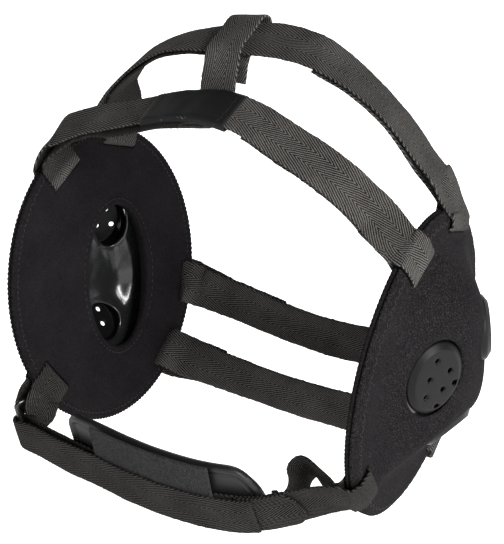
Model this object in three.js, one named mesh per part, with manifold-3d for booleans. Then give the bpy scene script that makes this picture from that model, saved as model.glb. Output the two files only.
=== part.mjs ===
// A wrestling ear guard, in millimetres: two padded ear cups carried by
// two straps over the head, two behind it and one under the chin.
// X points to the wearer's left, Y to the back of the head and Z up.
// The origin is midway between the two cups, on the line through the ears.

import * as THREE from 'three';
import { mergeVertices } from 'three/addons/utils/BufferGeometryUtils.js';
import Module from 'manifold-3d';

const wasm = await Module();
wasm.setup();

// How the two cups stand apart on the head
const headWidth = 183;
const toeAngle = 7.3;
const splayAngle = 6.7;
const leanAngle = 4.6;

// One ear cup: an oval of padding, a domed shell and a cloth cover
const earHeight = 154;
const earWidth = 126;
const openingHeight = 75;
const openingWidth = 41;
const padEdge = 2.4;
const padSwell = 5;
const shellThickness = 1.8;
const shellMargin = 3;
const shellSink = 5;
const coverThickness = 1.8;
const domeRise = 25;
const clearance = 0.3;

// The round plate that stands in each window of the cover
const plateProud = 0.7;
const plateBevel = 3;
const ventHole = 2.6;

// Webbing
const webWidth = 21;
const webThickness = 1.3;
const slotClearance = 0.7;
const frontRise = 61;
const rearRise = 80;
const crownLean = 11.5;
const upperBow = 15.5;
const lowerBow = 12;
const lowerDrop = 12.5;
const upperDrop = 16.5;

// Chin
const ringWire = 2.6;
const chinBow = 28;
const chinDrop = 30;
const pileThickness = 1.5;
const pileWidth = 33;
const chinPadThickness = 5;
const chinPadHeight = 39;
const tabThickness = 1.5;
const labelThickness = 0.6;
const labelFrom = 0.29;
const labelTo = 0.58;
const crossWay = 0.452;
const crossSlack = 1.45;
const slotOverhang = 4;
const slotBend = 2;
const slotLift = 0.9;
const returnGap = 0.9;
const ringSlack = 4.5;

const spokes = 24;
const plateSides = 12;
const degrees = THREE.MathUtils.degToRad;
const halfHigh = earHeight / 2;
const halfWide = earWidth / 2;

function material(color, roughness, metalness = 0) {
  return new THREE.MeshStandardMaterial({ color, roughness, metalness });
}

const webbing = material(0x2b2a28, 0.95);
const foam = material(0x1d1c20, 0.9);
const neoprene = material(0x1e1d22, 0.95);
const plastic = material(0x121214, 0.35);
const gloss = material(0x0c0c0d, 0.2);
const satin = material(0x101012, 0.6);
const pile = material(0x232220, 1.0);
const rubber = material(0x161618, 0.5);

// Solids and booleans

function toSolid(geometry) {
  const bare = geometry.clone();
  bare.deleteAttribute('normal');
  bare.deleteAttribute('uv');
  const merged = mergeVertices(bare, 1e-4);
  return new wasm.Manifold(new wasm.Mesh({
    numProp: 3,
    vertProperties: new Float32Array(merged.attributes.position.array),
    triVerts: new Uint32Array(merged.index.array),
  }));
}

function toGeometry(solid) {
  const mesh = solid.getMesh();
  const geometry = new THREE.BufferGeometry();
  geometry.setAttribute('position', new THREE.BufferAttribute(mesh.vertProperties, 3));
  geometry.setIndex(new THREE.BufferAttribute(mesh.triVerts, 1));
  geometry.computeVertexNormals();
  return geometry;
}

function meshOf(name, geometry, finish) {
  const mesh = new THREE.Mesh(geometry, finish);
  mesh.name = name;
  return mesh;
}

function surface(points, triangles) {
  const geometry = new THREE.BufferGeometry();
  geometry.setAttribute('position', new THREE.Float32BufferAttribute(points.flat(), 3));
  geometry.setIndex(triangles.flat());
  geometry.computeVertexNormals();
  return geometry;
}

// The ear cup's own frame has x outward from the head, y back and z up.
// Its inner face lies at x = 0.

function rimShare(back, up) {
  return Math.hypot(back / halfWide, up / halfHigh);
}

function ease(from, to, value) {
  const t = THREE.MathUtils.clamp((value - from) / (to - from), 0, 1);
  return t * t * (3 - 2 * t);
}

const shellShare = 1 - shellMargin / halfWide;
const stepShare = 1 - shellMargin / halfWide / 4;
const rimTop = padEdge + clearance + coverThickness;
const flangeStep = shellThickness + clearance;
const bellPower = 1.2;
const bellReach = 0.95;
const bellShare = 1.55;
const facetBlend = 1.2;
const sinkFrom = 0.5;
const sinkTo = 0.85;

// Vent plates: place and size as shares of the cup's width and height,
// height as a share of the dome's rise, slopes as rise over run.
const vents = [
  { back: -0.25, up: 0.05, height: 0.6, slopeBack: 0.577, slopeUp: 0,
    width: 0.245, length: 0.25, turn: 8, holes: [
      [-0.19, 0.48], [0.39, 0.25], [0.7, -0.07], [-0.28, -0.01],
      [0.32, -0.25], [-0.23, -0.48], [0.28, -0.71]] },
  { back: 0.35, up: 0.27, height: 0.84, slopeBack: -0.6, slopeUp: -0.25,
    width: 0.2, length: 0.22, turn: 12, holes: [[0.19, 0.35], [-0.07, -0.23], [0.55, -0.13]] },
  { back: 0.17, up: -0.4, height: 0.64, slopeBack: 0, slopeUp: 0.75,
    width: 0.23, length: 0.19, turn: 0, holes: [
      [0.41, 0.37], [-0.27, 0.04], [0.3, -0.2], [-0.26, -0.59]] },
];

function facetHeight(vent, back, up) {
  return rimTop + flangeStep + vent.height * domeRise
    + vent.slopeBack * (back - vent.back * halfWide)
    + vent.slopeUp * (up - vent.up * halfHigh);
}

// Height of the cover's outer face: a bell cut down by the three facets
function coverTop(back, up) {
  const share = rimShare(back, up);
  const flange = rimTop + flangeStep * (1 - ease(shellShare, stepShare, share));
  const reach = Math.min(share / bellReach, 1);
  const bell = bellShare * domeRise * 0.5 * (1 + Math.cos(Math.PI * reach ** bellPower));
  const limits = vents.map((vent) => facetHeight(vent, back, up));
  limits.push(rimTop + flangeStep + domeRise);
  limits.push(flange + bell);
  const low = Math.min(...limits);
  const sum = limits.reduce((total, limit) => total + Math.exp((low - limit) / facetBlend), 0);
  return Math.max(low - facetBlend * Math.log(sum), flange);
}

const coverUnder = (back, up) => coverTop(back, up) - coverThickness;

// Between its three bosses the shell lies deeper than the cover
function shellTop(back, up) {
  const risen = (coverTop(back, up) - rimTop) / domeRise;
  return coverUnder(back, up) - clearance - shellSink * ease(sinkFrom, sinkTo, risen);
}

const shellUnder = (back, up) => shellTop(back, up) - shellThickness;

// The padding swells inside the shell, and is thin where the shell's edge lies
function padTop(back, up) {
  return padEdge + padSwell * (1 - ease(0.42, 0.62, rimShare(back, up)));
}

// An oval slab between two height fields, from an inner loop to the rim
function ovalSlab(shares, under, over, opening = null) {
  const points = [];
  const triangles = [];
  const place = (share, turn) => {
    const rim = [halfWide * Math.cos(turn), halfHigh * Math.sin(turn)];
    if (!opening) {
      return [share * rim[0], share * rim[1]];
    }
    const hole = [
      opening.back + opening.width / 2 * Math.cos(turn),
      opening.up + opening.height / 2 * Math.sin(turn),
    ];
    return [hole[0] + share * (rim[0] - hole[0]), hole[1] + share * (rim[1] - hole[1])];
  };
  for (const share of shares) {
    for (let spoke = 0; spoke < spokes; spoke += 1) {
      const [back, up] = place(share, 2 * Math.PI * spoke / spokes);
      points.push([under(back, up), back, up], [over(back, up), back, up]);
    }
  }
  const at = (ring, spoke, top) => 2 * (ring * spokes + spoke % spokes) + top;
  const quad = (a, b, c, d) => triangles.push([a, b, c], [a, c, d]);
  for (let spoke = 0; spoke < spokes; spoke += 1) {
    const next = spoke + 1;
    for (let ring = 0; ring < shares.length - 1; ring += 1) {
      quad(at(ring, spoke, 1), at(ring + 1, spoke, 1), at(ring + 1, next, 1), at(ring, next, 1));
      quad(at(ring, spoke, 0), at(ring, next, 0), at(ring + 1, next, 0), at(ring + 1, spoke, 0));
    }
    const last = shares.length - 1;
    quad(at(last, spoke, 0), at(last, next, 0), at(last, next, 1), at(last, spoke, 1));
    if (opening) {
      quad(at(0, spoke, 0), at(0, spoke, 1), at(0, next, 1), at(0, next, 0));
    }
  }
  if (!opening) {
    const centre = points.length;
    points.push([under(0, 0), 0, 0], [over(0, 0), 0, 0]);
    for (let spoke = 0; spoke < spokes; spoke += 1) {
      triangles.push([centre + 1, at(0, spoke, 1), at(0, spoke + 1, 1)]);
      triangles.push([centre, at(0, spoke + 1, 0), at(0, spoke, 0)]);
    }
  }
  return surface(points, triangles);
}

// A prism with an oval or round section, standing on a vent's facet
function ventFrame(vent) {
  const outward = new THREE.Vector3(1, -vent.slopeBack, -vent.slopeUp).normalize();
  const turn = degrees(vent.turn);
  const upward = new THREE.Vector3(0, Math.sin(turn), Math.cos(turn));
  upward.addScaledVector(outward, -upward.dot(outward)).normalize();
  const across = new THREE.Vector3().crossVectors(upward, outward);
  const back = vent.back * halfWide;
  const up = vent.up * halfHigh;
  const frame = new THREE.Matrix4().makeBasis(across, upward, outward);
  return frame.setPosition(facetHeight(vent, back, up), back, up);
}

function ventPrism(vent, width, height, low, high, sides, centre = [0, 0], bevel = 0) {
  const outline = [];
  for (let side = 0; side < sides; side += 1) {
    const turn = 2 * Math.PI * side / sides;
    outline.push(new THREE.Vector2(
      centre[0] + width / 2 * Math.cos(turn),
      centre[1] + height / 2 * Math.sin(turn),
    ));
  }
  const geometry = new THREE.ExtrudeGeometry(new THREE.Shape(outline), {
    depth: high - low,
    bevelEnabled: false,
    steps: bevel > 0 ? 2 : 1,
  });
  const position = geometry.attributes.position;
  for (let i = 0; i < position.count; i += 1) {
    const level = position.getZ(i);
    if (bevel > 0 && level > high - low - 1e-6) {
      const shrink = 1 - 2 * bevel / Math.min(width, height);
      position.setXY(i, position.getX(i) * shrink, position.getY(i) * shrink);
    } else if (bevel > 0 && level > 1e-6) {
      position.setZ(i, high - low - bevel / 2);
    }
  }
  geometry.translate(0, 0, low);
  geometry.applyMatrix4(ventFrame(vent));
  return toSolid(geometry);
}

function ventHoles(vent) {
  return vent.holes.map(([across, along]) => [
    across * vent.width * earWidth / 2,
    along * vent.length * earHeight / 2,
  ]);
}

// Slots: centre as shares of the half width and half height, and the
// angle of the slot's length from the direction to the back.
const slots = {
  frontTop: { back: -0.365, up: 0.727, turn: 37.4 },
  top: { back: 0.206, up: 0.857, turn: -14.3 },
  backUpper: { back: 0.87, up: -0.195, turn: 79.6 },
  backLower: { back: 0.615, up: -0.62, turn: 49.4 },
  chin: { back: -0.587, up: -0.584, turn: 131.1 },
};

function slotFrame(slot) {
  const turn = degrees(slot.turn);
  const centre = new THREE.Vector2(slot.back * halfWide, slot.up * halfHigh);
  const along = new THREE.Vector2(Math.cos(turn), Math.sin(turn));
  const out = new THREE.Vector2(-along.y, along.x);
  if (out.dot(centre) < 0) {
    out.negate();
  }
  let reach = 0;
  for (const share of [-0.5, 0, 0.5]) {
    const start = centre.clone().addScaledVector(along, share * webWidth);
    while (rimShare(start.x + out.x * reach, start.y + out.y * reach) < 1) {
      reach += 0.25;
    }
  }
  return { centre, along, out, reach };
}

const slotLength = webWidth + 2 * slotClearance;
const slotWidth = webThickness + 2 * slotClearance;

function slotCutter(slot) {
  const { centre, along } = slotFrame(slot);
  const depth = 3 * domeRise;
  const box = new THREE.BoxGeometry(depth, slotLength, slotWidth);
  box.rotateX(Math.atan2(along.y, along.x));
  box.translate(0, centre.x, centre.y);
  return toSolid(box);
}

function cutAll(solid, cutters) {
  return cutters.reduce((rest, cutter) => rest.subtract(cutter), solid);
}

const slotCutters = Object.values(slots).map(slotCutter);
const domeShares = [0.25, 0.44, 0.6, 0.76, 0.9];

function earPad() {
  const opening = {
    back: openingWidth * 0.22,
    up: openingHeight * -0.04,
    width: openingWidth,
    height: openingHeight,
  };
  return cutAll(toSolid(ovalSlab([0, 0.25, 0.45, 0.65, 1], () => 0, padTop, opening)), slotCutters);
}

function earCover() {
  const rings = [...domeShares, shellShare, stepShare, 1];
  const windows = vents.map((vent) => ventPrism(
    vent,
    vent.width * earWidth + 2 * clearance,
    vent.length * earHeight + 2 * clearance,
    -domeRise,
    domeRise,
    plateSides,
  ));
  return cutAll(toSolid(ovalSlab(rings, coverUnder, coverTop)), [...slotCutters, ...windows]);
}

function earShell() {
  const rings = [...domeShares, shellShare];
  const above = toSolid(ovalSlab(rings, shellUnder, () => 4 * domeRise));
  let shell = toSolid(ovalSlab(rings, shellUnder, shellTop));
  for (const vent of vents) {
    const width = vent.width * earWidth;
    const length = vent.length * earHeight;
    const boss = ventPrism(vent, width, length, -domeRise / 2, plateProud, plateSides, [0, 0], plateBevel);
    shell = shell.add(boss.intersect(above));
  }
  for (const vent of vents) {
    const inner = 2 * (shellThickness + plateBevel / 2);
    const width = vent.width * earWidth - inner;
    const length = vent.length * earHeight - inner;
    const roof = plateProud - shellThickness;
    shell = shell.subtract(ventPrism(vent, width, length, -domeRise, roof, plateSides));
    for (const centre of ventHoles(vent)) {
      shell = shell.subtract(
        ventPrism(vent, ventHole, ventHole, -shellThickness * 3, domeRise, 5, centre),
      );
    }
  }
  return cutAll(shell, slotCutters);
}

// The cups on the head

function cupGroup(side) {
  const group = new THREE.Group();
  group.position.set(side * headWidth / 2, 0, 0);
  group.rotation.set(
    degrees(-leanAngle),
    degrees(side * splayAngle),
    degrees(side * toeAngle),
    'ZYX',
  );
  group.updateMatrixWorld(true);
  return group;
}

const rightSide = -1;
const leftSide = 1;
const cups = { [leftSide]: cupGroup(leftSide), [rightSide]: cupGroup(rightSide) };

function mirrored(geometry) {
  const copy = geometry.clone();
  copy.scale(-1, 1, 1);
  const index = copy.index.array;
  for (let i = 0; i < index.length; i += 3) {
    [index[i], index[i + 1]] = [index[i + 1], index[i]];
  }
  copy.computeVertexNormals();
  return copy;
}

function onHead(side, outward, back, up) {
  return new THREE.Vector3(side * outward, back, up).applyMatrix4(cups[side].matrixWorld);
}

function turnedToHead(side, outward, back, up) {
  return onHead(side, outward, back, up).sub(onHead(side, 0, 0, 0));
}

// How far back a line leans on its way to the left. Where webbing twists, its
// two faces, and the layers over it, are all split along the same diagonal.
function leansBack(from, to) {
  const [run, back, up] = to.map((value, axis) => value - from[axis]);
  return Math.sign(run) * (back + up / 2);
}

// A strap of webbing through stations, each with its middle and the
// direction of its width.

function ribbon(stations, width = webWidth, thickness = webThickness, closed = false) {
  const count = stations.length;
  const points = [];
  let lastWide = stations[0].wide;
  stations.forEach((station, i) => {
    const before = stations[closed ? (i + count - 1) % count : Math.max(i - 1, 0)];
    const after = stations[closed ? (i + 1) % count : Math.min(i + 1, count - 1)];
    const run = new THREE.Vector3().subVectors(after.at, before.at).normalize();
    const wide = station.wide.clone();
    if (!station.inSlot) {
      wide.addScaledVector(run, -wide.dot(run)).normalize();
    }
    if (wide.dot(lastWide) < 0) {
      wide.negate();
    }
    lastWide = wide;
    const thick = new THREE.Vector3().crossVectors(run, wide);
    const halfWidth = (station.width ?? width) / 2;
    for (const [w, t] of [[-1, -1], [1, -1], [1, 1], [-1, 1]]) {
      const corner = station.at.clone()
        .addScaledVector(wide, w * halfWidth)
        .addScaledVector(thick, t * thickness / 2);
      points.push(corner.toArray());
    }
  });
  const triangles = [];
  const spans = closed ? count : count - 1;
  for (let i = 0; i < spans; i += 1) {
    const a = 4 * i;
    const b = 4 * ((i + 1) % count);
    const other = leansBack(points[a], points[b + 1]) < leansBack(points[a + 1], points[b]);
    for (let k = 0; k < 4; k += 1) {
      const n = (k + 1) % 4;
      if ((k === 0 && other) || (k === 2 && !other)) {
        triangles.push([a + k, a + n, b + k], [a + n, b + n, b + k]);
      } else {
        triangles.push([a + k, a + n, b + n], [a + k, b + n, b + k]);
      }
    }
  }
  if (!closed) {
    const e = 4 * (count - 1);
    triangles.push([0, 2, 1], [0, 3, 2], [e, e + 1, e + 2], [e, e + 2, e + 3]);
  }
  return surface(points, triangles);
}

// Webbing lies this far off a face that it touches, and this many times
// as far in where it turns over the rim.
const webLift = clearance + webThickness / 2;
const innerLift = 2.2;

// The stretches of a strap at its slot, in order: past the rim outside the
// cup, down to the slot, through it, along the inner face and past the rim.
function slotRun(side, slot) {
  const { centre, along, out, reach } = slotFrame(slot);
  const wide = turnedToHead(side, 0, along.x, along.y).normalize();
  const station = (distance, outward) => ({
    at: onHead(side, outward, centre.x + out.x * distance, centre.y + out.y * distance),
    wide: wide.clone(),
    inSlot: true,
  });
  const outerLift = (distance) => {
    let top = rimTop;
    for (const share of [-0.5, -0.25, 0, 0.25, 0.5]) {
      for (const step of [-1, 0, 1]) {
        const far = distance + step * webThickness;
        const back = centre.x + out.x * far + along.x * share * webWidth;
        const up = centre.y + out.y * far + along.y * share * webWidth;
        if (rimShare(back, up) < 1) {
          top = Math.max(top, coverTop(back, up));
        }
      }
    }
    return top + webLift + slotLift;
  };
  const bend = slotBend;
  const slotTop = outerLift(0);
  const down = [1, 0.7, 0.4].map((share) => {
    const distance = bend + share * (reach - bend);
    return station(distance, outerLift(distance));
  });
  const arc = (turns, place) => turns.map((turn) => place(
    bend * (1 - Math.sin(degrees(turn))),
    bend * (1 - Math.cos(degrees(turn))),
  ));
  return {
    pastOutside: [station(reach + slotOverhang, outerLift(reach))],
    roundRim: [station(reach + slotOverhang / 2, 0), station(reach + slotOverhang / 2, rimTop)],
    outside: [...down, ...arc([0, 45, 90], (far, deep) => station(far, slotTop - deep))],
    inside: [...arc([90, 45, 0], (far, deep) => station(far, deep - webLift)), station(reach, -webLift)],
    pastInside: [station(reach + slotOverhang, -innerLift * webLift)],
    straight: [station(0, webThickness), station(0, -2 * webLift - webThickness)],
  };
}

function wideAt(lean) {
  return new THREE.Vector3(0, Math.cos(degrees(lean)), Math.sin(degrees(lean)));
}

// Routes of the straps between their slots. Each row gives its share of the
// way from the right cup to the left one, its share of the strap's rise, bow
// or drop, and the lean of the width from level, in degrees.
const frontRoute = [
  { way: -0.055, rise: 0.27, lean: 36 },
  { way: -0.026, rise: 0.392, lean: 34 },
  { way: 0.109, rise: 0.593, lean: 28 },
  { way: 0.235, rise: 0.738, lean: 25 },
  { way: 0.355, rise: 0.89, lean: 25 },
  { way: 0.45, rise: 0.975, lean: 25 },
  { way: 0.493, rise: 0.998, lean: 25 },
  { way: 0.575, rise: 0.984, lean: 27 },
  { way: 0.639, rise: 0.923, lean: 31 },
  { way: 0.702, rise: 0.826, lean: 34 },
  { way: 0.791, rise: 0.7, lean: 36 },
  { way: 0.873, rise: 0.539, lean: 37 },
  { way: 0.93, rise: 0.384, lean: 38 },
];
const rearRoute = [
  { way: -0.009, rise: 0.26, lean: -12 },
  { way: 0.007, rise: 0.34, lean: -2 },
  { way: 0.074, rise: 0.545, lean: 14 },
  { way: 0.126, rise: 0.665, lean: 18 },
  { way: 0.234, rise: 0.825, lean: 12 },
  { way: 0.318, rise: 0.895, lean: 15 },
  { way: 0.414, rise: 0.945, lean: 25 },
  { way: 0.492, rise: 0.98, lean: 31 },
  { way: 0.56, rise: 1, lean: 33 },
  { way: 0.68, rise: 0.985, lean: 25 },
  { way: 0.76, rise: 0.904, lean: 12 },
  { way: 0.816, rise: 0.826, lean: 2 },
  { way: 0.878, rise: 0.711, lean: -6 },
  { way: 0.919, rise: 0.604, lean: -10 },
  { way: 0.968, rise: 0.449, lean: -13 },
  { way: 1.008, rise: 0.336, lean: -14 },
];
const upperRoute = [
  { way: 0.04, bow: 0.3, drop: 0.2, lean: 82 },
  { way: 0.15, bow: 0.65, drop: 0.5, lean: 88 },
  { way: 0.32, bow: 0.94, drop: 0.86, lean: 90 },
  { way: 0.5, bow: 1, drop: 1, lean: 90 },
  { way: 0.68, bow: 0.94, drop: 0.86, lean: 90 },
  { way: 0.85, bow: 0.65, drop: 0.5, lean: 88 },
  { way: 0.96, bow: 0.3, drop: 0.2, lean: 82 },
];
const lowerRoute = [
  { way: 0.06, bow: 0.45, drop: 0.35, lean: 60 },
  { way: 0.16, bow: 0.72, drop: 0.65, lean: 82 },
  { way: 0.32, bow: 0.93, drop: 0.9, lean: 90 },
  { way: 0.5, bow: 1, drop: 1, lean: 90 },
  { way: 0.68, bow: 0.93, drop: 0.9, lean: 90 },
  { way: 0.84, bow: 0.72, drop: 0.65, lean: 82 },
  { way: 0.94, bow: 0.45, drop: 0.35, lean: 60 },
];
const chinRoute = [
  { way: -0.015, bow: 0.66, drop: 0.86, lean: 107 },
  { way: 0.119, bow: 0.85, drop: 0.85, lean: 107 },
  { way: 0.282, bow: 0.98, drop: 0.87, lean: 107 },
  { way: 0.391, bow: 1, drop: 0.93, lean: 107 },
  { way: 0.5, bow: 0.965, drop: 0.98, lean: 107 },
  { way: 0.636, bow: 0.82, drop: 1, lean: 108 },
  { way: 0.745, bow: 0.58, drop: 0.95, lean: 110 },
  { way: 0.83, bow: 0.42, drop: 0.76, lean: 114 },
  { way: 0.92, bow: 0.36, drop: 0.5, lean: 122 },
];

// Smooth stations through a route's rows, from the right cup to the left
function alongRoute(rows, slot, direction, perSpan = 2) {
  const { centre } = slotFrame(slot);
  const from = onHead(rightSide, 0, centre.x, centre.y);
  const to = onHead(leftSide, 0, centre.x, centre.y);
  const middles = rows.map((row) => new THREE.Vector3()
    .lerpVectors(from, to, row.way)
    .add(direction(row)));
  const curve = new THREE.CatmullRomCurve3(middles, false, 'centripetal');
  const last = rows.length - 1;
  const stations = [];
  for (let i = 0; i <= last * perSpan; i += 1) {
    const row = Math.min(Math.floor(i / perSpan), last - 1);
    const part = i / perSpan - row;
    const lean = THREE.MathUtils.lerp(rows[row].lean, rows[row + 1].lean, part);
    stations.push({
      at: curve.getPoint(i / (last * perSpan)),
      wide: wideAt(lean),
      way: THREE.MathUtils.lerp(rows[row].way, rows[row + 1].way, part),
    });
  }
  return stations;
}

// The same webbing lying on the first, further from the head where
// distance is above 0.
function layer(stations, distance) {
  return stations.map((station, i) => {
    const before = stations[Math.max(i - 1, 0)].at;
    const after = stations[Math.min(i + 1, stations.length - 1)].at;
    const run = new THREE.Vector3().subVectors(after, before).normalize();
    const normal = new THREE.Vector3().crossVectors(run, station.wide).normalize();
    if (normal.dot(station.at) < 0) {
      normal.negate();
    }
    return { ...station, at: station.at.clone().addScaledVector(normal, distance) };
  });
}

const between = (stations, low, high) => stations
  .filter((station) => station.way >= low && station.way <= high);
const layerStep = webThickness + returnGap;

// An end that goes down the outside of a cup and comes back beneath. The
// return joins the strap at its join and stops at its end, as ways. A strap
// that comes from deeper than the cup's inner face goes round the rim.
function overEnd(main, side, slot, { join, end, roundsRim = false }) {
  const run = slotRun(side, slot);
  const under = layer(main, -layerStep);
  const back = between(under, Math.min(join, end), Math.max(join, end));
  return [
    ...(roundsRim ? run.roundRim : []),
    ...run.outside,
    ...run.inside,
    ...(roundsRim ? [] : run.pastInside),
    ...(side === leftSide ? back.reverse() : back),
  ];
}

function overStrap(main, slot, right, left) {
  return [
    ...overEnd(main, rightSide, slot, right).reverse(),
    ...main,
    ...overEnd(main, leftSide, slot, left),
  ];
}

// A strap whose ends go out through the cups and come back behind
function behindStrap(main, slot, right, left) {
  const outer = layer(main, layerStep);
  const onRight = slotRun(rightSide, slot);
  const onLeft = slotRun(leftSide, slot);
  return [
    ...between(outer, right.join, right.end).reverse(),
    ...onRight.pastOutside,
    ...onRight.outside,
    ...onRight.straight,
    ...main,
    ...onLeft.straight.reverse(),
    ...onLeft.outside.reverse(),
    ...onLeft.pastOutside,
    ...between(outer, left.end, left.join).reverse(),
  ];
}

const crownDirection = new THREE.Vector3(0, -Math.sin(degrees(crownLean)), Math.cos(degrees(crownLean)));
const crown = (rise) => (row) => crownDirection.clone().multiplyScalar(rise * row.rise);
const behind = (bow, drop) => (row) => new THREE.Vector3(0, bow * row.bow, -drop * row.drop);
const frontMain = alongRoute(frontRoute, slots.frontTop, crown(frontRise));
const rearMain = alongRoute(rearRoute, slots.top, crown(rearRise));
const upperMain = alongRoute(upperRoute, slots.backUpper, behind(upperBow, upperDrop));
const lowerMain = alongRoute(lowerRoute, slots.backLower, behind(lowerBow, lowerDrop));
const chinInner = alongRoute(chinRoute, slots.chin, behind(-chinBow, chinDrop), 3);

const labelSpan = labelTo - labelFrom;

function nearest(stations, way) {
  return stations.reduce((best, station) => (
    Math.abs(station.way - way) < Math.abs(best.way - way) ? station : best));
}

const halfWeb = webWidth / 2;

// A strap's own frame at a share of its way: wide points back, normal out
function strapFrame(stations, way) {
  const index = stations.indexOf(nearest(stations, way));
  const run = new THREE.Vector3()
    .subVectors(stations[index + 1].at, stations[index - 1].at)
    .normalize();
  const wide = stations[index].wide.clone();
  wide.addScaledVector(run, -wide.dot(run)).normalize();
  const normal = new THREE.Vector3().crossVectors(run, wide).normalize();
  return (sideways, height) => ({
    wide: run.clone(),
    at: stations[index].at.clone()
      .addScaledVector(wide, sideways)
      .addScaledVector(normal, height),
  });
}

// The short strap from under the front strap, over the rear one and back
function crossStrap() {
  const front = strapFrame(frontMain, crossWay);
  const rear = strapFrame(rearMain, crossWay);
  const below = -(2 * layerStep + labelThickness + clearance + crossSlack);
  const over = layerStep + crossSlack;
  const start = front(halfWeb, below);
  const crest = rear(-halfWeb, over);
  const turned = rear(-halfWeb * 0.9, -over);
  const toFront = new THREE.Vector3().subVectors(start.at, crest.at).normalize();
  const middle = { wide: crest.wide, at: start.at.clone().lerp(crest.at, 0.5) };
  const end = { wide: crest.wide, at: turned.at.clone().addScaledVector(toFront, webWidth * 0.55) };
  return ribbon([
    front(-halfWeb * 0.8, below),
    front(0, below),
    start,
    middle,
    crest,
    rear(0, over),
    rear(halfWeb, over),
    rear(halfWeb + over * 0.8, over * 0.6),
    rear(halfWeb + over, 0),
    rear(halfWeb + over * 0.8, -over * 0.6),
    rear(halfWeb, -over),
    rear(0, -over),
    turned,
    end,
  ]);
}

// The woven label is a sleeve round the front strap and its return
function labelSleeve() {
  const core = layer(frontMain, -layerStep / 2);
  const stack = webThickness + layerStep + 2 * clearance;
  const band = between(core, labelFrom, labelTo);
  const bore = between(core, labelFrom - labelSpan / 4, labelTo + labelSpan / 4);
  const outside = ribbon(
    band,
    webWidth + 2 * (clearance + labelThickness),
    stack + 2 * labelThickness,
  );
  const inside = ribbon(bore, webWidth + 2 * clearance, stack);
  return toGeometry(toSolid(outside).subtract(toSolid(inside)));
}

// The chin strap runs from the left cup under the chin to the ring, turns
// round the ring's front bar and comes back on the outside to its tab.
const chinStack = 2 * clearance + webThickness + pileThickness;
const barTurn = ringWire / Math.SQRT2 + webLift + clearance;
const chinOuter = layer(chinInner, chinStack);
const ringGap = 2 * (barTurn + webThickness / 2 - ringWire / 2) + 4 * clearance;
const ringLong = webWidth + ringSlack;
const ringShift = 3.4;
const foldShare = 0.84;

function ringPlace() {
  const wide = chinInner[0].wide.clone();
  const run = new THREE.Vector3().subVectors(chinInner[1].at, chinInner[0].at);
  run.addScaledVector(wide, -run.dot(wide)).normalize();
  const middle = chinInner[0].at.clone().lerp(chinOuter[0].at, 0.5);
  const outward = new THREE.Vector3().subVectors(chinOuter[0].at, chinInner[0].at);
  outward.addScaledVector(wide, -outward.dot(wide)).normalize();
  const frontBar = middle.clone().addScaledVector(run, -1.2 * barTurn);
  const { centre, out, reach } = slotFrame(slots.chin);
  const rim = onHead(rightSide, 0, centre.x + out.x * reach, centre.y + out.y * reach);
  const toRim = new THREE.Vector3().subVectors(rim, frontBar);
  toRim.addScaledVector(wide, -toRim.dot(wide)).normalize();
  const rearBar = frontBar.clone().addScaledVector(toRim, ringGap + ringWire);
  return { wide, run, outward, frontBar, rearBar, toRim };
}

const ringAt = ringPlace();

function chinStrap() {
  const { wide, run, outward, frontBar } = ringAt;
  const fold = [];
  for (const turn of [90, 45, 0, -45, -90]) {
    const angle = degrees(turn);
    fold.push({
      wide: wide.clone(),
      width: webWidth * foldShare,
      at: frontBar.clone()
        .addScaledVector(run, -barTurn * Math.cos(angle))
        .addScaledVector(outward, barTurn * Math.sin(angle)),
    });
  }
  const tail = { join: 1, end: 0.8, roundsRim: true };
  return ribbon([
    ...between(chinOuter, 0.02, 0.75).reverse(),
    ...fold,
    ...between(chinInner, 0.02, 2),
    ...overEnd(chinInner, leftSide, slots.chin, tail),
  ]);
}

function chinRing() {
  const { wide, frontBar, rearBar, toRim } = ringAt;
  const high = ringLong / 2 + ringWire;
  const deep = ringGap / 2 + ringWire;
  const oval = (path, x, y, corner) => {
    path.moveTo(x - corner, -y);
    path.absarc(x - corner, -y + corner, corner, -Math.PI / 2, 0, false);
    path.absarc(x - corner, y - corner, corner, 0, Math.PI / 2, false);
    path.absarc(-x + corner, y - corner, corner, Math.PI / 2, Math.PI, false);
    path.absarc(-x + corner, -y + corner, corner, Math.PI, Math.PI * 1.5, false);
    return path;
  };
  const shape = oval(new THREE.Shape(), high, deep, ringWire);
  shape.holes.push(oval(new THREE.Path(), high - ringWire, deep - ringWire, ringWire / 3));
  const geometry = new THREE.ExtrudeGeometry(shape, {
    depth: ringWire,
    bevelEnabled: false,
    curveSegments: 3,
  });
  geometry.translate(ringShift, 0, -ringWire / 2);
  const flat = new THREE.Vector3().crossVectors(wide, toRim);
  const frame = new THREE.Matrix4().makeBasis(wide, toRim, flat);
  frame.setPosition(frontBar.clone().lerp(rearBar, 0.5));
  return toGeometry(toSolid(geometry.applyMatrix4(frame)));
}

// The short loop that ties the ring to the right cup
function anchorLoop() {
  const { wide, rearBar, toRim } = ringAt;
  const flat = new THREE.Vector3().crossVectors(wide, toRim);
  if (flat.x > 0) {
    flat.negate();
  }
  const bar = rearBar.clone().addScaledVector(wide, ringShift + 2);
  const turns = [];
  for (const turn of [-90, -45, 0, 45, 90]) {
    const angle = degrees(turn);
    turns.push({
      wide: wide.clone(),
      width: webWidth * 0.7,
      at: bar.clone()
        .addScaledVector(toRim, -(barTurn + clearance) * Math.cos(angle))
        .addScaledVector(flat, (barTurn + clearance) * Math.sin(angle)),
    });
  }
  const loop = slotRun(rightSide, slots.chin);
  return ribbon(
    [...loop.pastOutside, ...loop.outside, ...loop.inside, ...loop.pastInside, ...turns],
    webWidth,
    webThickness,
    true,
  );
}

function raised(stations, distance) {
  return stations.map((station) => ({
    ...station,
    at: station.at.clone().addScaledVector(station.wide, distance),
  }));
}

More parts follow.
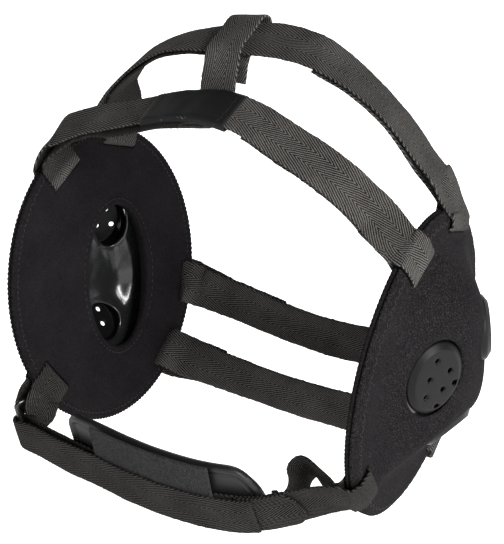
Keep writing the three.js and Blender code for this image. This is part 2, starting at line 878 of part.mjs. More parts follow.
// Rounded ends: the width of a flat piece at each of its stations
function rounded(stations, width, ends) {
  const last = stations.length - 1;
  return stations.map((station, i) => {
    const edge = Math.min(ends.includes('start') ? i : 9, ends.includes('finish') ? last - i : 9);
    const share = [0.55, 0.86, 1][Math.min(edge, 2)];
    return { ...station, width: width * share };
  });
}

function loopStrip() {
  const lift = webThickness / 2 + clearance + pileThickness / 2;
  const strip = raised(layer(chinInner, lift), (pileWidth - webWidth) / 2);
  return ribbon(between(strip, 0.28, 0.66), pileWidth, pileThickness);
}

function hookTab() {
  const lift = webThickness / 2 + clearance + tabThickness / 2;
  const tab = between(layer(chinInner, lift), 0.69, 0.87);
  return ribbon(rounded(tab, webWidth + 1, ['finish']), webWidth, tabThickness);
}

function chinPad() {
  const lift = webThickness / 2 + clearance + chinPadThickness / 2;
  const pad = raised(layer(chinInner, -lift), (chinPadHeight - webWidth) / 2 - 1);
  const body = between(pad, 0.16, 0.78);
  return ribbon(rounded(body, chinPadHeight, ['start', 'finish']), chinPadHeight, chinPadThickness);
}

const object = new THREE.Group();

const cupPieces = [
  ['ear_pad', earPad, foam],
  ['ear_shell', earShell, plastic],
  ['ear_cover', earCover, neoprene],
];
for (const [name, build, finish] of cupPieces) {
  const geometry = toGeometry(build());
  cups[leftSide].add(meshOf(`left_${name}`, geometry, finish));
  cups[rightSide].add(meshOf(`right_${name}`, mirrored(geometry), finish));
}
object.add(cups[leftSide], cups[rightSide]);

const frontStrap = ribbon(overStrap(
  frontMain,
  slots.frontTop,
  { join: 0.06, end: 0.44 },
  { join: 1, end: 0.61, roundsRim: true },
));
const rearStrap = ribbon(overStrap(
  rearMain,
  slots.top,
  { join: 0.04, end: 0.4 },
  { join: 0.96, end: 0.7 },
));
const upperStrap = ribbon(behindStrap(
  upperMain,
  slots.backUpper,
  { join: 0.15, end: 0.33 },
  { join: 0.85, end: 0.67 },
));
const lowerStrap = ribbon(behindStrap(
  lowerMain,
  slots.backLower,
  { join: 0.12, end: 0.2 },
  { join: 0.88, end: 0.8 },
));
object.add(
  meshOf('front_top_strap', frontStrap, webbing),
  meshOf('rear_top_strap', rearStrap, webbing),
  meshOf('cross_strap', crossStrap(), webbing),
  meshOf('label_sleeve', labelSleeve(), satin),
  meshOf('upper_back_strap', upperStrap, webbing),
  meshOf('lower_back_strap', lowerStrap, webbing),
  meshOf('chin_strap', chinStrap(), webbing),
  meshOf('chin_anchor_loop', anchorLoop(), webbing),
  meshOf('chin_ring', chinRing(), gloss),
  meshOf('chin_hook_tab', hookTab(), webbing),
  meshOf('chin_loop_strip', loopStrip(), pile),
  meshOf('chin_pad', chinPad(), rubber),
);
object.updateMatrixWorld(true);

export default object;
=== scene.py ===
# %% [markdown]
# # A wrestling ear guard
#
# Two padded ear cups hang on webbing: two straps over the crown, two behind the
# head and one under the chin. The packed model gives every piece its place. This
# script puts a finely made piece over each plain solid. Lengths are in
# millimetres until a mesh is made, since that is how webbing and foam are cut.

# %% The packed model
import math
import random

import bpy
import numpy as np
from mathutils import Euler, Matrix, Vector, noise
from mathutils.geometry import delaunay_2d_cdt


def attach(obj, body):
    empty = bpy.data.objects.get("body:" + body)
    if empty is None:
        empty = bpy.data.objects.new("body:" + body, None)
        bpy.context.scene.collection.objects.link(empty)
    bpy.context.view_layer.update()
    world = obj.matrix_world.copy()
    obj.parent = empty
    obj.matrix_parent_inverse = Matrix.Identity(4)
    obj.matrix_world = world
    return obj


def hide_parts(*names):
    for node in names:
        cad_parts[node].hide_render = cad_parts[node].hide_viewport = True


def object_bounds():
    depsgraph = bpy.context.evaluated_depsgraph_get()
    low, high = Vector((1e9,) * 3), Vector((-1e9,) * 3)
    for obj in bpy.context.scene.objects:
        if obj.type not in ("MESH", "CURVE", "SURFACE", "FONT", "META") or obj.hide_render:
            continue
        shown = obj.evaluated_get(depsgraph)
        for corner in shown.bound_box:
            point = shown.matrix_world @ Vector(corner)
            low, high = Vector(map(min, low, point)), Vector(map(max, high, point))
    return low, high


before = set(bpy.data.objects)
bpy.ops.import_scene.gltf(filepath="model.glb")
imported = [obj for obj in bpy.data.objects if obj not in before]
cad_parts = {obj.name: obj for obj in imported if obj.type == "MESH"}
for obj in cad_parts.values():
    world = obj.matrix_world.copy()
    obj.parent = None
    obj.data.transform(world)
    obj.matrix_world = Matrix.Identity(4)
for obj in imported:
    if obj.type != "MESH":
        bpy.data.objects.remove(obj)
cad_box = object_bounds()
MM = 0.001
SIDES = ((1, "left"), (-1, "right"))
chance = random.Random(7)
print("CAD box in metres:", [[round(x, 4) for x in corner] for corner in cad_box])

# %% [markdown]
# ## Shader arithmetic
#
# A pattern such as a weave is arithmetic on a place in the cloth. Node by node
# that is hard to read, so a small class stands for a socket, and plus, minus,
# times and over add the Math nodes. One method makes every other node.


# %% Sockets that can be added and multiplied
class Wire:
    """A socket of a finish. Arithmetic on it adds Math nodes."""

    def __init__(self, finish, socket):
        self.finish = finish
        self.socket = socket

    def math(self, operation, *values):
        sockets = dict(enumerate([self, *values]))
        return self.finish.node("Math", {"operation": operation}, sockets)

    def __add__(self, other):
        return self.math("ADD", other)

    def __sub__(self, other):
        return self.math("SUBTRACT", other)

    def __mul__(self, other):
        return self.math("MULTIPLY", other)

    def __truediv__(self, other):
        return self.math("DIVIDE", other)

    def __rsub__(self, other):
        return self.finish.node("Math", {"operation": "SUBTRACT"}, {0: other, 1: self})

    def __rtruediv__(self, other):
        return self.finish.node("Math", {"operation": "DIVIDE"}, {0: other, 1: self})

    __radd__ = __add__
    __rmul__ = __mul__

    def __pow__(self, power):
        return self.math("POWER", power)

    def wave(self):
        """Turns a count of repeats into a ripple from 0 to 1."""
        return (self * (2 * math.pi)).math("SINE") * 0.5 + 0.5

    def clamp(self, low=0, high=1):
        return self.math("MAXIMUM", low).math("MINIMUM", high)


print("reflected forms:", ", ".join(name for name in vars(Wire) if name.startswith("__r")))


# %% One finish, with its shader and its nodes
class Finish:
    """A material with one Principled shader, whose constants are set on it."""

    def __init__(self, name, constants):
        self.material = bpy.data.materials.new(name)
        self.material.use_nodes = True
        self.tree = self.material.node_tree
        self.tree.nodes.clear()
        self.shader = self.tree.nodes.new("ShaderNodeBsdfPrincipled")
        end = self.tree.nodes.new("ShaderNodeOutputMaterial")
        self.tree.links.new(self.shader.outputs[0], end.inputs[0])
        self.feed(self.shader, constants)

    def feed(self, node, sockets):
        for key, value in sockets.items():
            if isinstance(value, Wire):
                self.tree.links.new(value.socket, node.inputs[key])
            else:
                node.inputs[key].default_value = value

    def node(self, kind, settings, sockets, output=0):
        """Makes a node: its settings first, then its sockets' values or links."""
        made = self.tree.nodes.new("ShaderNode" + kind)
        for key, value in settings.items():
            setattr(made, key, value)
        self.feed(made, sockets)
        return Wire(self, made.outputs[output])

    def split(self, vector):
        parts = self.node("SeparateXYZ", {}, {0: vector})
        outputs = parts.socket.node.outputs
        return [Wire(self, outputs[axis]) for axis in range(3)]

    def attribute(self, name):
        return self.node("Attribute", {"attribute_name": name}, {}, "Vector")

    def place(self):
        return self.node("TexCoord", {}, {}, "Object")

    def grain(self, where, per_mm, detail=2.0, roughness=0.5):
        """Noise from 0 to 1 with so many lumps in a millimetre."""
        sockets = {"Vector": where, "Scale": per_mm, "Detail": detail, "Roughness": roughness}
        return self.node("TexNoise", {}, sockets, 0)

    def mix(self, share, low, high):
        settings = {"data_type": "RGBA"}
        return self.node("Mix", settings, {0: share, 6: low, 7: high}, 2)

    def bump(self, height, depth, strength=1.0):
        """Turns a height from 0 to 1 into a normal, with its depth in mm."""
        sockets = {"Strength": strength, "Distance": depth * MM, "Height": height}
        self.feed(self.shader, {"Normal": self.node("Bump", {}, sockets)})


def violet(level):
    """The faint plum cast of dyed neoprene."""
    return (level * 1.08, level * 0.95, level * 1.05, 1.0)


def grey(level, warm=0.0):
    """A near-black tone, a little warmer or, below 0, cooler."""
    return (level * (1 + warm), level, level * (1 - warm), 1.0)


print("a grey of 0.1 is", [round(part, 3) for part in grey(0.1, 0.06)])

# %% [markdown]
# ## Webbing
#
# The straps are cotton and polyester tape in herringbone twill: three bands of
# slanting ribs that change direction at each band's edge. An image would need
# unwrapping. The tape's own place, across and along in millimetres, is stored
# on the mesh instead, and the ribs are worked out from it, so the weave bends
# and twists with each strap.


# %% The herringbone weave
WEB_BAND = 7.0
RIB_PITCH = 1.08
RIB_ANGLE = math.radians(24)
DASH_PITCH = 0.95
TWILL_DEPTH = 0.24


def webbing(name, light, warm=0.06, painted_shade_reach=0):
    """Twill tape. Its first stretch of so many mm, the return lying under the strap against the head, is
    painted darker for the shade it lies in.
    """
    finish = Finish(name, {"Roughness": 0.9, "Specular IOR Level": 0.05})
    cloth = finish.attribute("cloth")
    across, along = finish.split(cloth)[:2]
    sway = finish.grain(cloth, 0.35) - 0.5
    folded = (across + 1.5 * WEB_BAND).math("PINGPONG", WEB_BAND)
    rib = (along * math.sin(RIB_ANGLE) + folded * math.cos(RIB_ANGLE)) / RIB_PITCH + sway * 0.5
    run = (along * math.cos(RIB_ANGLE) - folded * math.sin(RIB_ANGLE)) / DASH_PITCH
    dash = (run + rib.math("FLOOR") * 0.37).wave()
    ridge = rib.wave() ** 1.2
    yarn = ridge * (dash * 0.35 + 0.65)
    fuzz = finish.grain(cloth, 2.8, 3.0, 0.7)
    wear = finish.grain(finish.place(), 60.0, 3.0)
    height = yarn * 0.8 + fuzz * 0.35
    tone = ((yarn - 0.4) * 1.1 + (fuzz - 0.5) * 2.4 + 0.36 + (wear - 0.5) * 0.6).clamp()
    base = finish.mix(tone, grey(light * 0.05, warm), grey(light * 2.3, warm))
    # Painted shade: the return's first stretch is darkened toward near-black, standing in for the shadow
    # of the strap over it.
    if painted_shade_reach:
        base = finish.mix(((painted_shade_reach - along) / 4).clamp() * 0.7, base, grey(light * 0.1, warm))
    lint = ((fuzz - 0.62) * 9).clamp() * ((dash - 0.45) * 3).clamp()
    finish.feed(finish.shader, {"Base Color": finish.mix(lint, base, grey(light * 3.4, warm))})
    finish.bump(height, TWILL_DEPTH, 0.9)
    return finish.material


# One webbing in lit and shaded copies: each strap's lightness is set to how much light falls where it
# hangs, so the differences between these five tones are painted light and shade, not different cloths.
front_cloth = webbing("webbing_front", 0.051, painted_shade_reach=116)
rear_cloth = webbing("webbing_rear", 0.042, painted_shade_reach=106)
tie_cloth = webbing("webbing_tie", 0.058)
chin_cloth = webbing("webbing_chin", 0.02)
back_cloth = webbing("webbing_back", 0.04)
print("webbing ribs every", RIB_PITCH, "mm")

# %% [markdown]
# ## Knits, lining and thread
#
# The outer cover is neoprene with a knitted face: fine upright wales and pale
# flecks of lint. Its lining is the same cloth pressed smooth. Both read their
# own place on the cup, so the wales run upright over the dome.


# %% Neoprene and lining
WALE_PITCH, COURSE_PITCH = 0.75, 0.62
KNIT_DEPTH = 0.28


def knit(name, light, flecks, wales):
    """Knitted jersey. Fewer flecks show the nearer flecks is to 1."""
    finish = Finish(name, {"Roughness": 0.92, "Specular IOR Level": 0.04})
    cloth = finish.attribute("cloth")
    across, along = finish.split(cloth)[:2]
    fine = finish.grain(cloth, 2.6, 3.0, 0.7)
    broad = finish.grain(cloth, 0.05, 2.0)
    wale = (across / WALE_PITCH + (finish.grain(cloth, 0.4) - 0.5) * 0.8).wave()
    course = (along / COURSE_PITCH + (fine - 0.5) * 0.5).wave()
    loops = wale * (course * 0.4 + 0.6)
    tone = ((fine - 0.5) * 3 + 0.4 + (broad - 0.5) * 0.5 + (loops - 0.4) * wales).clamp()
    base = finish.mix(tone, violet(light * 0.25), violet(light * 2.0))
    lint = ((finish.grain(cloth, 1.7, 2.0, 0.6) - flecks) * 14).clamp()
    finish.feed(finish.shader, {"Base Color": finish.mix(lint, base, grey(light * 3.6, 0.02))})
    finish.bump(fine * 0.8 + loops * wales * 0.6, KNIT_DEPTH, 0.9)
    return finish.material


cover_cloth = knit("neoprene", 0.0075, flecks=0.57, wales=0.9)
lining_cloth = knit("lining", 0.0075, flecks=0.7, wales=0.08)
print("knitted wales every", WALE_PITCH, "mm")

# %% [markdown]
# The seams are sewn in polyester thread. A stitch is a real tube here, since
# bump alone would vanish at the rim, so its finish needs only a fine fibre.


# %% Sewing thread
def thread_finish(name, light):
    finish = Finish(name, {"Roughness": 0.7, "Specular IOR Level": 0.2})
    fibre = finish.grain(finish.place(), 2500.0, 2.0)
    colours = (grey(light * 0.6), grey(light * 1.6))
    finish.feed(finish.shader, {"Base Color": finish.mix(fibre, *colours)})
    finish.bump(fibre, 0.08)
    return finish.material


thread_dark = thread_finish("thread_dark", 0.02)
print("thread finish:", thread_dark.name)

# %% [markdown]
# ## Moulded plastic and rubber
#
# The shell is injection moulded: glossy where the tool was polished and satin
# on the plates outside. Moulded faces are never perfectly even, so a broad
# ripple moves the highlights and a fine grain breaks them up.


# %% Shell, ring and chin pad
def moulded(name, light, roughness, grain_depth, ripple_depth, shine=0.5):
    """Plastic or rubber from a mould, with the depths of its unevenness in mm."""
    finish = Finish(name, {"Specular IOR Level": shine})
    place = finish.place()
    ripple = finish.grain(place, 90.0, 1.0)
    pores = finish.grain(place, 2600.0, 2.0)
    dust = ((finish.grain(place, 900.0, 2.0) - 0.7) * 12).clamp()
    base = finish.mix(dust * 0.5, grey(light, -0.02), grey(light * 3.5))
    finish.feed(finish.shader, {"Base Color": base,
                                "Roughness": (ripple - 0.5) * 0.12 + dust * 0.1 + roughness})
    finish.bump(ripple * ripple_depth + pores * grain_depth, 1.0, 1.0)
    return finish.material


shell_gloss = moulded("shell_plastic", 0.012, 0.2, grain_depth=0.01, ripple_depth=0.5)
plate_satin = moulded("plate_plastic", 0.003, 0.46, grain_depth=0.035, ripple_depth=0.1, shine=0.16)
ring_gloss = moulded("ring_plastic", 0.008, 0.16, grain_depth=0.0, ripple_depth=0.1)
chin_rubber = moulded("chin_rubber", 0.006, 0.45, grain_depth=0.03, ripple_depth=0.2, shine=0.3)
print("moulded finishes:", shell_gloss.name, plate_satin.name, ring_gloss.name, chin_rubber.name)

# %% [markdown]
# ## Label and loop strip
#
# The label is satin: its threads are far finer than the webbing's, so two
# ripples are enough. The loop strip is a mat of crushed curls, for which a
# Voronoi pattern stands, because its cells are round and packed like curls.


# %% Label and loop pile
WARP_PITCH, WEFT_PITCH = 0.32, 0.4


def satin(name):
    """A woven label: fine threads one way that lie over the others."""
    finish = Finish(name, {"Roughness": 0.6, "Specular IOR Level": 0.15})
    cloth = finish.attribute("cloth")
    across, along = finish.split(cloth)[:2]
    warp = (across / WARP_PITCH).wave()
    weft = (along / WEFT_PITCH + warp * 0.2).wave()
    tone = warp * 0.5 + weft * 0.3 + finish.grain(cloth, 3.0) * 0.3
    finish.feed(finish.shader, {"Base Color": finish.mix(tone, grey(0.002), grey(0.008))})
    finish.bump(tone, 0.08)
    return finish.material


def pile(name, light):
    """Loop pile: a mat of tiny crushed curls."""
    finish = Finish(name, {"Roughness": 0.95, "Sheen Weight": 0.05, "Specular IOR Level": 0.1})
    cloth = finish.attribute("cloth")
    curls = finish.node("TexVoronoi", {}, {"Vector": cloth, "Scale": 1.5}, "Distance")
    fine = finish.grain(cloth, 4.0, 3.0, 0.7)
    tone = ((curls * 0.7 + fine * 0.9 - 0.55) * 2.5).clamp()
    finish.feed(finish.shader, {"Base Color": finish.mix(tone, grey(light * 0.2), grey(light * 4))})
    finish.bump(tone, 0.5)
    return finish.material


label_satin = satin("label_satin")
loop_pile = pile("loop_pile", 0.008)
print("materials so far:", len(bpy.data.materials))

# %% [markdown]
# ## Flat patterns
#
# Foam, neoprene and moulded plates are all flat shapes with holes, bent onto a
# surface. A grid with booleans leaves long thin triangles and hard edges. Here
# a pattern is cut in the flat: loops for its edges, rings beside them for the
# rounding and a grid between, all joined by a Delaunay triangulation.


# %% Loops
def ellipse(width, height, centre=(0, 0), turn=0.0, step=1.2, ripple=0.0, pitch=2.3):
    """An oval loop, which can have a small ripple such as an overlocked edge."""
    around = math.pi * (width + height) / 2
    count = max(12, round(around / step))
    waves = round(around / pitch)
    points = []
    for i in range(count):
        angle = 2 * math.pi * i / count
        swell = ripple * (abs(math.sin(angle * waves / 2)) - 0.6)
        x = (width / 2 + swell) * math.cos(angle)
        y = (height / 2 + swell) * math.sin(angle)
        points.append((centre[0] + x * math.cos(turn) - y * math.sin(turn),
                       centre[1] + x * math.sin(turn) + y * math.cos(turn)))
    return np.array(points)


def slot_loop(centre, along, length, width):
    """A slit with round ends."""
    radius = width / 2
    half = length / 2 - radius
    side = np.array([-along[1], along[0]])
    points = []
    for end, start in ((1, -90), (-1, 90)):
        for turn in range(0, 181, 30):
            angle = math.radians(start + turn)
            points.append(centre + along * (end * half + radius * math.cos(angle))
                          + side * radius * math.sin(angle))
        for share in (1 / 6, 2 / 6, 3 / 6, 4 / 6, 5 / 6):
            points.append(centre + along * end * half * (1 - 2 * share) + side * end * radius)
    return np.array(points)


print("a 10 mm circle takes", len(ellipse(10, 10)), "points")


# %% Inside, distance and offset
def inside(points, loop):
    """Which points lie inside a closed loop, by counting crossings."""
    x, y = points[:, 0:1], points[:, 1:2]
    x0, y0 = loop[:, 0], loop[:, 1]
    x1, y1 = np.roll(x0, -1), np.roll(y0, -1)
    rising = np.where(y1 == y0, 1e-9, y1 - y0)
    crossing = ((y0 > y) != (y1 > y)) & (x < (x1 - x0) * (y - y0) / rising + x0)
    return crossing.sum(axis=1) % 2 == 1


def distance(points, loop):
    """How far each point is from a closed loop."""
    start = loop[None]
    run = np.roll(loop, -1, axis=0)[None] - start
    offset = points[:, None] - start
    share = np.clip((offset * run).sum(2) / np.maximum((run * run).sum(2), 1e-12), 0, 1)
    return np.linalg.norm(offset - share[..., None] * run, axis=2).min(axis=1)


def shifted(loop, gap):
    """The loop moved sideways: outward for a gap above 0."""
    run = np.roll(loop, -1, axis=0) - np.roll(loop, 1, axis=0)
    run /= np.linalg.norm(run, axis=1)[:, None]
    area = (loop[:, 0] * np.roll(loop[:, 1], -1) - loop[:, 1] * np.roll(loop[:, 0], -1)).sum()
    outward = np.stack([run[:, 1], -run[:, 0]], axis=1) * math.copysign(1, area)
    return loop + outward * gap


print("(3, 0) is", round(float(distance(np.array([[3.0, 0.0]]), ellipse(10, 10))[0]), 1),
      "mm from that circle")

# %% [markdown]
# A rounded edge needs rings of points close to it, at the heights that a
# quarter circle has there. Each loop therefore gets three rings, and a grid
# fills the rest. Where two loops are close, points that would crowd are left out.


# %% Cutting a pattern
RING_SHARES = (0.13, 0.4, 1.0)


def cut(outer, holes, spacing):
    """A pattern: its points, its triangles and how far each point is from an edge.

    outer and each hole are (loop, rounding radius) pairs."""
    loops = [outer, *holes]
    rims = [loop for loop, radius in loops]
    points = list(rims)
    clear = spacing * 0.55
    for i, (loop, radius) in enumerate(loops):
        for share in RING_SHARES if radius > 0 else ():
            ring = shifted(loop, radius * share * (-1 if i == 0 else 1))
            others = [distance(ring, other) for j, other in enumerate(rims) if j != i]
            free = np.min(others, axis=0) > radius + 0.3 if others else np.ones(len(ring), bool)
            points.append(ring[free])
    low, high = outer[0].min(axis=0), outer[0].max(axis=0)
    columns = np.arange(low[0], high[0], spacing)
    rows = np.arange(low[1], high[1], spacing * 0.87)
    grid = np.array([(x + spacing / 2 * (j % 2), y) for j, y in enumerate(rows) for x in columns])
    keep = inside(grid, outer[0])
    for loop, radius in loops:
        keep &= distance(grid, loop) > radius + clear
    for rim in rims[1:]:
        keep &= ~inside(grid, rim)
    points.append(grid[keep])
    sizes = [len(rim) for rim in rims]
    starts = np.cumsum([0, *sizes])
    edges = []
    for start, size in zip(starts, sizes):
        edges += [(start + k, start + (k + 1) % size) for k in range(size)]
    flat = [Vector(p) for p in np.concatenate(points)]
    found = delaunay_2d_cdt(flat, edges, [], 0, 1e-5)
    place = np.array([tuple(p) for p in found[0]])
    triangles = np.array([face for face in found[2] if len(face) == 3])
    middle = place[triangles].mean(axis=1)
    keep = inside(middle, outer[0])
    for rim in rims[1:]:
        keep &= ~inside(middle, rim)
    triangles = triangles[keep]
    near = np.array([distance(place, rim) for rim in rims])
    nearest = near.argmin(axis=0)
    radii = np.array([radius for loop, radius in loops])[nearest]
    gap = near.min(axis=0)
    sunk = radii - np.sqrt(np.maximum(radii ** 2 - np.maximum(radii - gap, 0) ** 2, 0))
    return {"place": place, "triangles": triangles, "gap": gap, "sunk": sunk, "edge": nearest}


print("a disc is cut into", len(cut((ellipse(10, 10), 1), [], 2)["triangles"]), "triangles")


# %% From a pattern to a sheet
def wound(place, triangles):
    """The triangles, all turned the same way round."""
    a, b, c = (place[triangles[:, i]] for i in range(3))
    area = (b[:, 0] - a[:, 0]) * (c[:, 1] - a[:, 1]) - (b[:, 1] - a[:, 1]) * (c[:, 0] - a[:, 0])
    return [tuple(t) if s > 0 else tuple(t[::-1]) for t, s in zip(triangles.tolist(), area)]


def open_edges(faces):
    """The edges that only one face has, in its own direction."""
    once = {}
    for face in faces:
        for a, b in zip(face, (*face[1:], face[0])):
            if (b, a) in once:
                del once[(b, a)]
            else:
                once[(a, b)] = True
    return list(once)


def slab(pattern, under, over, closed=True):
    """A closed sheet between two heights over a pattern, with rounded edges.

    It gives points as (x, y, height), faces, and each point's (x, y, side)."""
    place = pattern["place"]
    top = np.array([over(*p) for p in place]) - pattern["sunk"]
    bottom = np.array([under(*p) for p in place]) + pattern["sunk"]
    count = len(place)
    points = np.concatenate([np.column_stack([place, top]), np.column_stack([place, bottom])])
    upper = wound(place, pattern["triangles"])
    faces = upper + [tuple(i + count for i in face[::-1]) for face in upper]
    if closed:
        faces += [(b, a, a + count, b + count) for a, b in open_edges(upper)]
    sides = np.concatenate([np.ones(count), -np.ones(count)])
    return points, faces, np.column_stack([np.tile(place, (2, 1)), sides])


print("two joined triangles have", len(open_edges([(0, 1, 2), (0, 2, 3)])), "open edges")

# %% [markdown]
# ## Pieces
#
# A real piece is often several things sewn together: tape, stitches and stray
# fibres. They are gathered into one object, so it rides, hides and renders as
# one, while each part keeps its own material.


# %% Gathering a piece
class Piece:
    """Points, faces and materials that become one object."""

    def __init__(self, name, side=1):
        self.name = name
        self.side = side
        self.points = []
        self.faces = []
        self.cloth = []
        self.slots = []
        self.materials = []

    def add(self, points, faces, material, cloth=None):
        if material not in self.materials:
            self.materials.append(material)
        start = sum(len(part) for part in self.points)
        self.points.append(np.asarray(points, dtype=float))
        self.cloth.append(np.asarray(points if cloth is None else cloth, dtype=float))
        self.faces += [tuple(start + i for i in face) for face in faces]
        self.slots += [self.materials.index(material)] * len(faces)

    def make(self, material_slot, *nodes):
        """Builds the object in metres and hides the plain solids of the nodes it stands for."""
        points = np.concatenate(self.points) * MM
        faces = self.faces
        if self.side < 0:
            faces = [face[::-1] for face in faces]
        mesh = bpy.data.meshes.new(self.name)
        mesh.from_pydata(points.tolist(), [], faces)
        for material in self.materials:
            mesh.materials.append(material)
        mesh.polygons.foreach_set("material_index", self.slots)
        cloth = mesh.attributes.new("cloth", "FLOAT_VECTOR", "POINT")
        cloth.data.foreach_set("vector", np.concatenate(self.cloth).ravel())
        mesh.shade_smooth()
        made = bpy.data.objects.new(self.name, mesh)
        bpy.context.collection.objects.link(made)
        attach(made, "root")
        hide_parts(*nodes)
        print(self.name, "has", len(faces), "faces")
        return made


print("a new piece has", len(Piece("blank").faces), "faces")

# %% [markdown]
# Stitches and stray fibres are thin tubes. A curve object with a bevel would do
# the same, but a few rings of points keep thousands of them light.


# %% Thread
def tube(path, radius, sides=5):
    """A thin closed tube along a few points, with pointed ends."""
    path = [Vector(p) for p in path]
    points = []
    side = None
    for i, here in enumerate(path):
        run = (path[min(i + 1, len(path) - 1)] - path[max(i - 1, 0)]).normalized()
        if side is None:
            side = run.orthogonal()
        side = (side - run * side.dot(run)).normalized()
        other = run.cross(side)
        size = radius * (0.4 if i in (0, len(path) - 1) else 1)
        for k in range(sides):
            angle = 2 * math.pi * k / sides
            points.append(here + (side * math.cos(angle) + other * math.sin(angle)) * size)
    faces = []
    for i in range(len(path) - 1):
        for k in range(sides):
            n = (k + 1) % sides
            a, b = i * sides, (i + 1) * sides
            faces.append((a + k, a + n, b + n, b + k))
    last = (len(path) - 1) * sides
    faces.append(tuple(range(sides))[::-1])
    faces.append(tuple(range(last, last + sides)))
    return np.array([tuple(p) for p in points]), faces


def random_bend():
    return Vector([chance.uniform(-1, 1) for axis in range(3)])


def stray(root, outward, length, radius=0.07):
    """A fibre that leaves an edge and curls."""
    bend = random_bend()
    middle = root + outward * length * 0.5 + bend * length * 0.12
    tip = root + outward * length * 0.8 + bend * length * 0.5
    return tube([root - outward * 0.25, middle, tip], radius, 3)


print("a stitch takes", len(tube([(0, 0, 0), (1, 0, 0), (2, 0, 0)], 0.16)[1]), "faces")

# %% [markdown]
# ## The ear cup
#
# Each cup is an oval sandwich: foam lining, hard shell, neoprene cover. The
# dome is a bell cut down by three flat facets, where the vented plates stand.
# Height above the inner face is a function of place, so the lining, the shell
# and the cover all come from one formula and nest with even gaps.

# %% Sizes of the cup
HEAD_WIDTH = 183
CUP_HEIGHT, CUP_WIDTH = 154, 126
OPENING_HEIGHT, OPENING_WIDTH = 75, 41
HALF_HIGH, HALF_WIDE = CUP_HEIGHT / 2, CUP_WIDTH / 2
PAD_EDGE, PAD_SWELL = 2.4, 5.0
SHELL_WALL, SHELL_MARGIN, SHELL_SINK = 1.8, 3.0, 5.0
COVER_WALL, CLEARANCE = 1.8, 0.3
DOME_RISE, BELL_SHARE = 25.0, 1.55
PLATE_PROUD, PLATE_BEVEL = 1.4, 3.4
RIM_TOP = PAD_EDGE + CLEARANCE + COVER_WALL
FLANGE_STEP = SHELL_WALL + CLEARANCE
SHELL_SHARE = 1 - SHELL_MARGIN / HALF_WIDE
STEP_SHARE = 1 - SHELL_MARGIN / HALF_WIDE / 4
print("the cover's face is", round(RIM_TOP, 1), "mm up at the rim")

# Each vent and slot is placed by shares of the cup's half width and half height
VENTS = {
    "front": {"back": -0.25, "up": 0.05, "height": 0.6, "slope_back": 0.577, "slope_up": 0,
              "width": 0.245, "length": 0.25, "turn": 8,
              "holes": [(-0.19, 0.48), (0.39, 0.25), (0.7, -0.07), (-0.28, -0.01),
                        (0.32, -0.25), (-0.23, -0.48), (0.28, -0.71)]},
    "upper": {"back": 0.35, "up": 0.27, "height": 0.84, "slope_back": -0.6, "slope_up": -0.25,
              "width": 0.2, "length": 0.22, "turn": 12,
              "holes": [(0.19, 0.35), (-0.07, -0.23), (0.55, -0.13)]},
    "lower": {"back": 0.17, "up": -0.4, "height": 0.64, "slope_back": 0, "slope_up": 0.75,
              "width": 0.23, "length": 0.19, "turn": 0,
              "holes": [(0.41, 0.37), (-0.27, 0.04), (0.3, -0.2), (-0.26, -0.59)]},
}

SLOTS = {
    "front_top": {"back": -0.365, "up": 0.727, "turn": 37.4},
    "top": {"back": 0.206, "up": 0.857, "turn": -14.3},
    "back_upper": {"back": 0.87, "up": -0.195, "turn": 79.6},
    "back_lower": {"back": 0.615, "up": -0.62, "turn": 49.4},
    "chin": {"back": -0.587, "up": -0.584, "turn": 131.1},
}


# %% [markdown]
# Five slots near the rim take the straps. The cover dips where a strap presses
# on it, so the slots are needed before the dome's height can be given.


# %% Where the slots are
WEB_WIDTH, WEB_THICKNESS = 21, 1.3
SLOT_CLEARANCE, SLOT_SLACK = 0.3, 1.2


def rim_share(back, up):
    """0 at the middle of the cup and 1 on its rim."""
    return math.hypot(back / HALF_WIDE, up / HALF_HIGH)


def slot_place(slot):
    """A slot's centre, its run, its way out to the rim and how far that is."""
    turn = math.radians(slot["turn"])
    centre = np.array([slot["back"] * HALF_WIDE, slot["up"] * HALF_HIGH])
    along = np.array([math.cos(turn), math.sin(turn)])
    out = np.array([-along[1], along[0]])
    if out @ centre < 0:
        out = -out
    reach = 0.0
    for share in (-0.5, 0, 0.5):
        start = centre + along * share * WEB_WIDTH
        while rim_share(*(start + out * reach)) < 1:
            reach += 0.25
    return centre, along, out, reach


SLOT_PLACES = [slot_place(slot) for slot in SLOTS.values()]
print("slots:", ", ".join(SLOTS))


# %% [markdown]
# The cover's face is the lowest of several surfaces: a bell, a ceiling and the
# three facets. Taking the plain minimum would leave creases that stretched
# neoprene doesn't have, so a soft minimum rounds them.


# %% Height of the dome
BELL_REACH, BELL_POWER = 0.95, 1.2
DIP_SIDES, DIP_INWARD, DIP_DEPTH = (9, 17), (1, 8), 0.9
SKIRT, SKIRT_BLEND = (0.86, 0.96), 4


def ease(start, end, value):
    """0 before the start, 1 after the end and a smooth step between."""
    t = min(max((value - start) / (end - start), 0), 1)
    return t * t * (3 - 2 * t)


def facet_height(vent, back, up):
    """How high a facet's plane is, over a place on the cup."""
    return (RIM_TOP + FLANGE_STEP + vent["height"] * DOME_RISE
            + vent["slope_back"] * (back - vent["back"] * HALF_WIDE)
            + vent["slope_up"] * (up - vent["up"] * HALF_HIGH))


print("halfway up a step:", ease(0, 1, 0.5))


# %% The cover's face
def slot_dip(back, up):
    """1 where a strap presses the cover flat, outward of its slot."""
    deepest = 0
    for centre, along, out, _ in SLOT_PLACES:
        x, y = back - centre[0], up - centre[1]
        sideways = abs(x * along[0] + y * along[1])
        inward = -(x * out[0] + y * out[1])
        deepest = max(deepest, (1 - ease(*DIP_SIDES, sideways)) * (1 - ease(*DIP_INWARD, inward)))
    return deepest


def soft_max(a, b, blend):
    """The larger of two heights, with a rounded corner where they cross."""
    near = max(blend - abs(a - b), 0)
    return max(a, b) + near * near / blend / 4


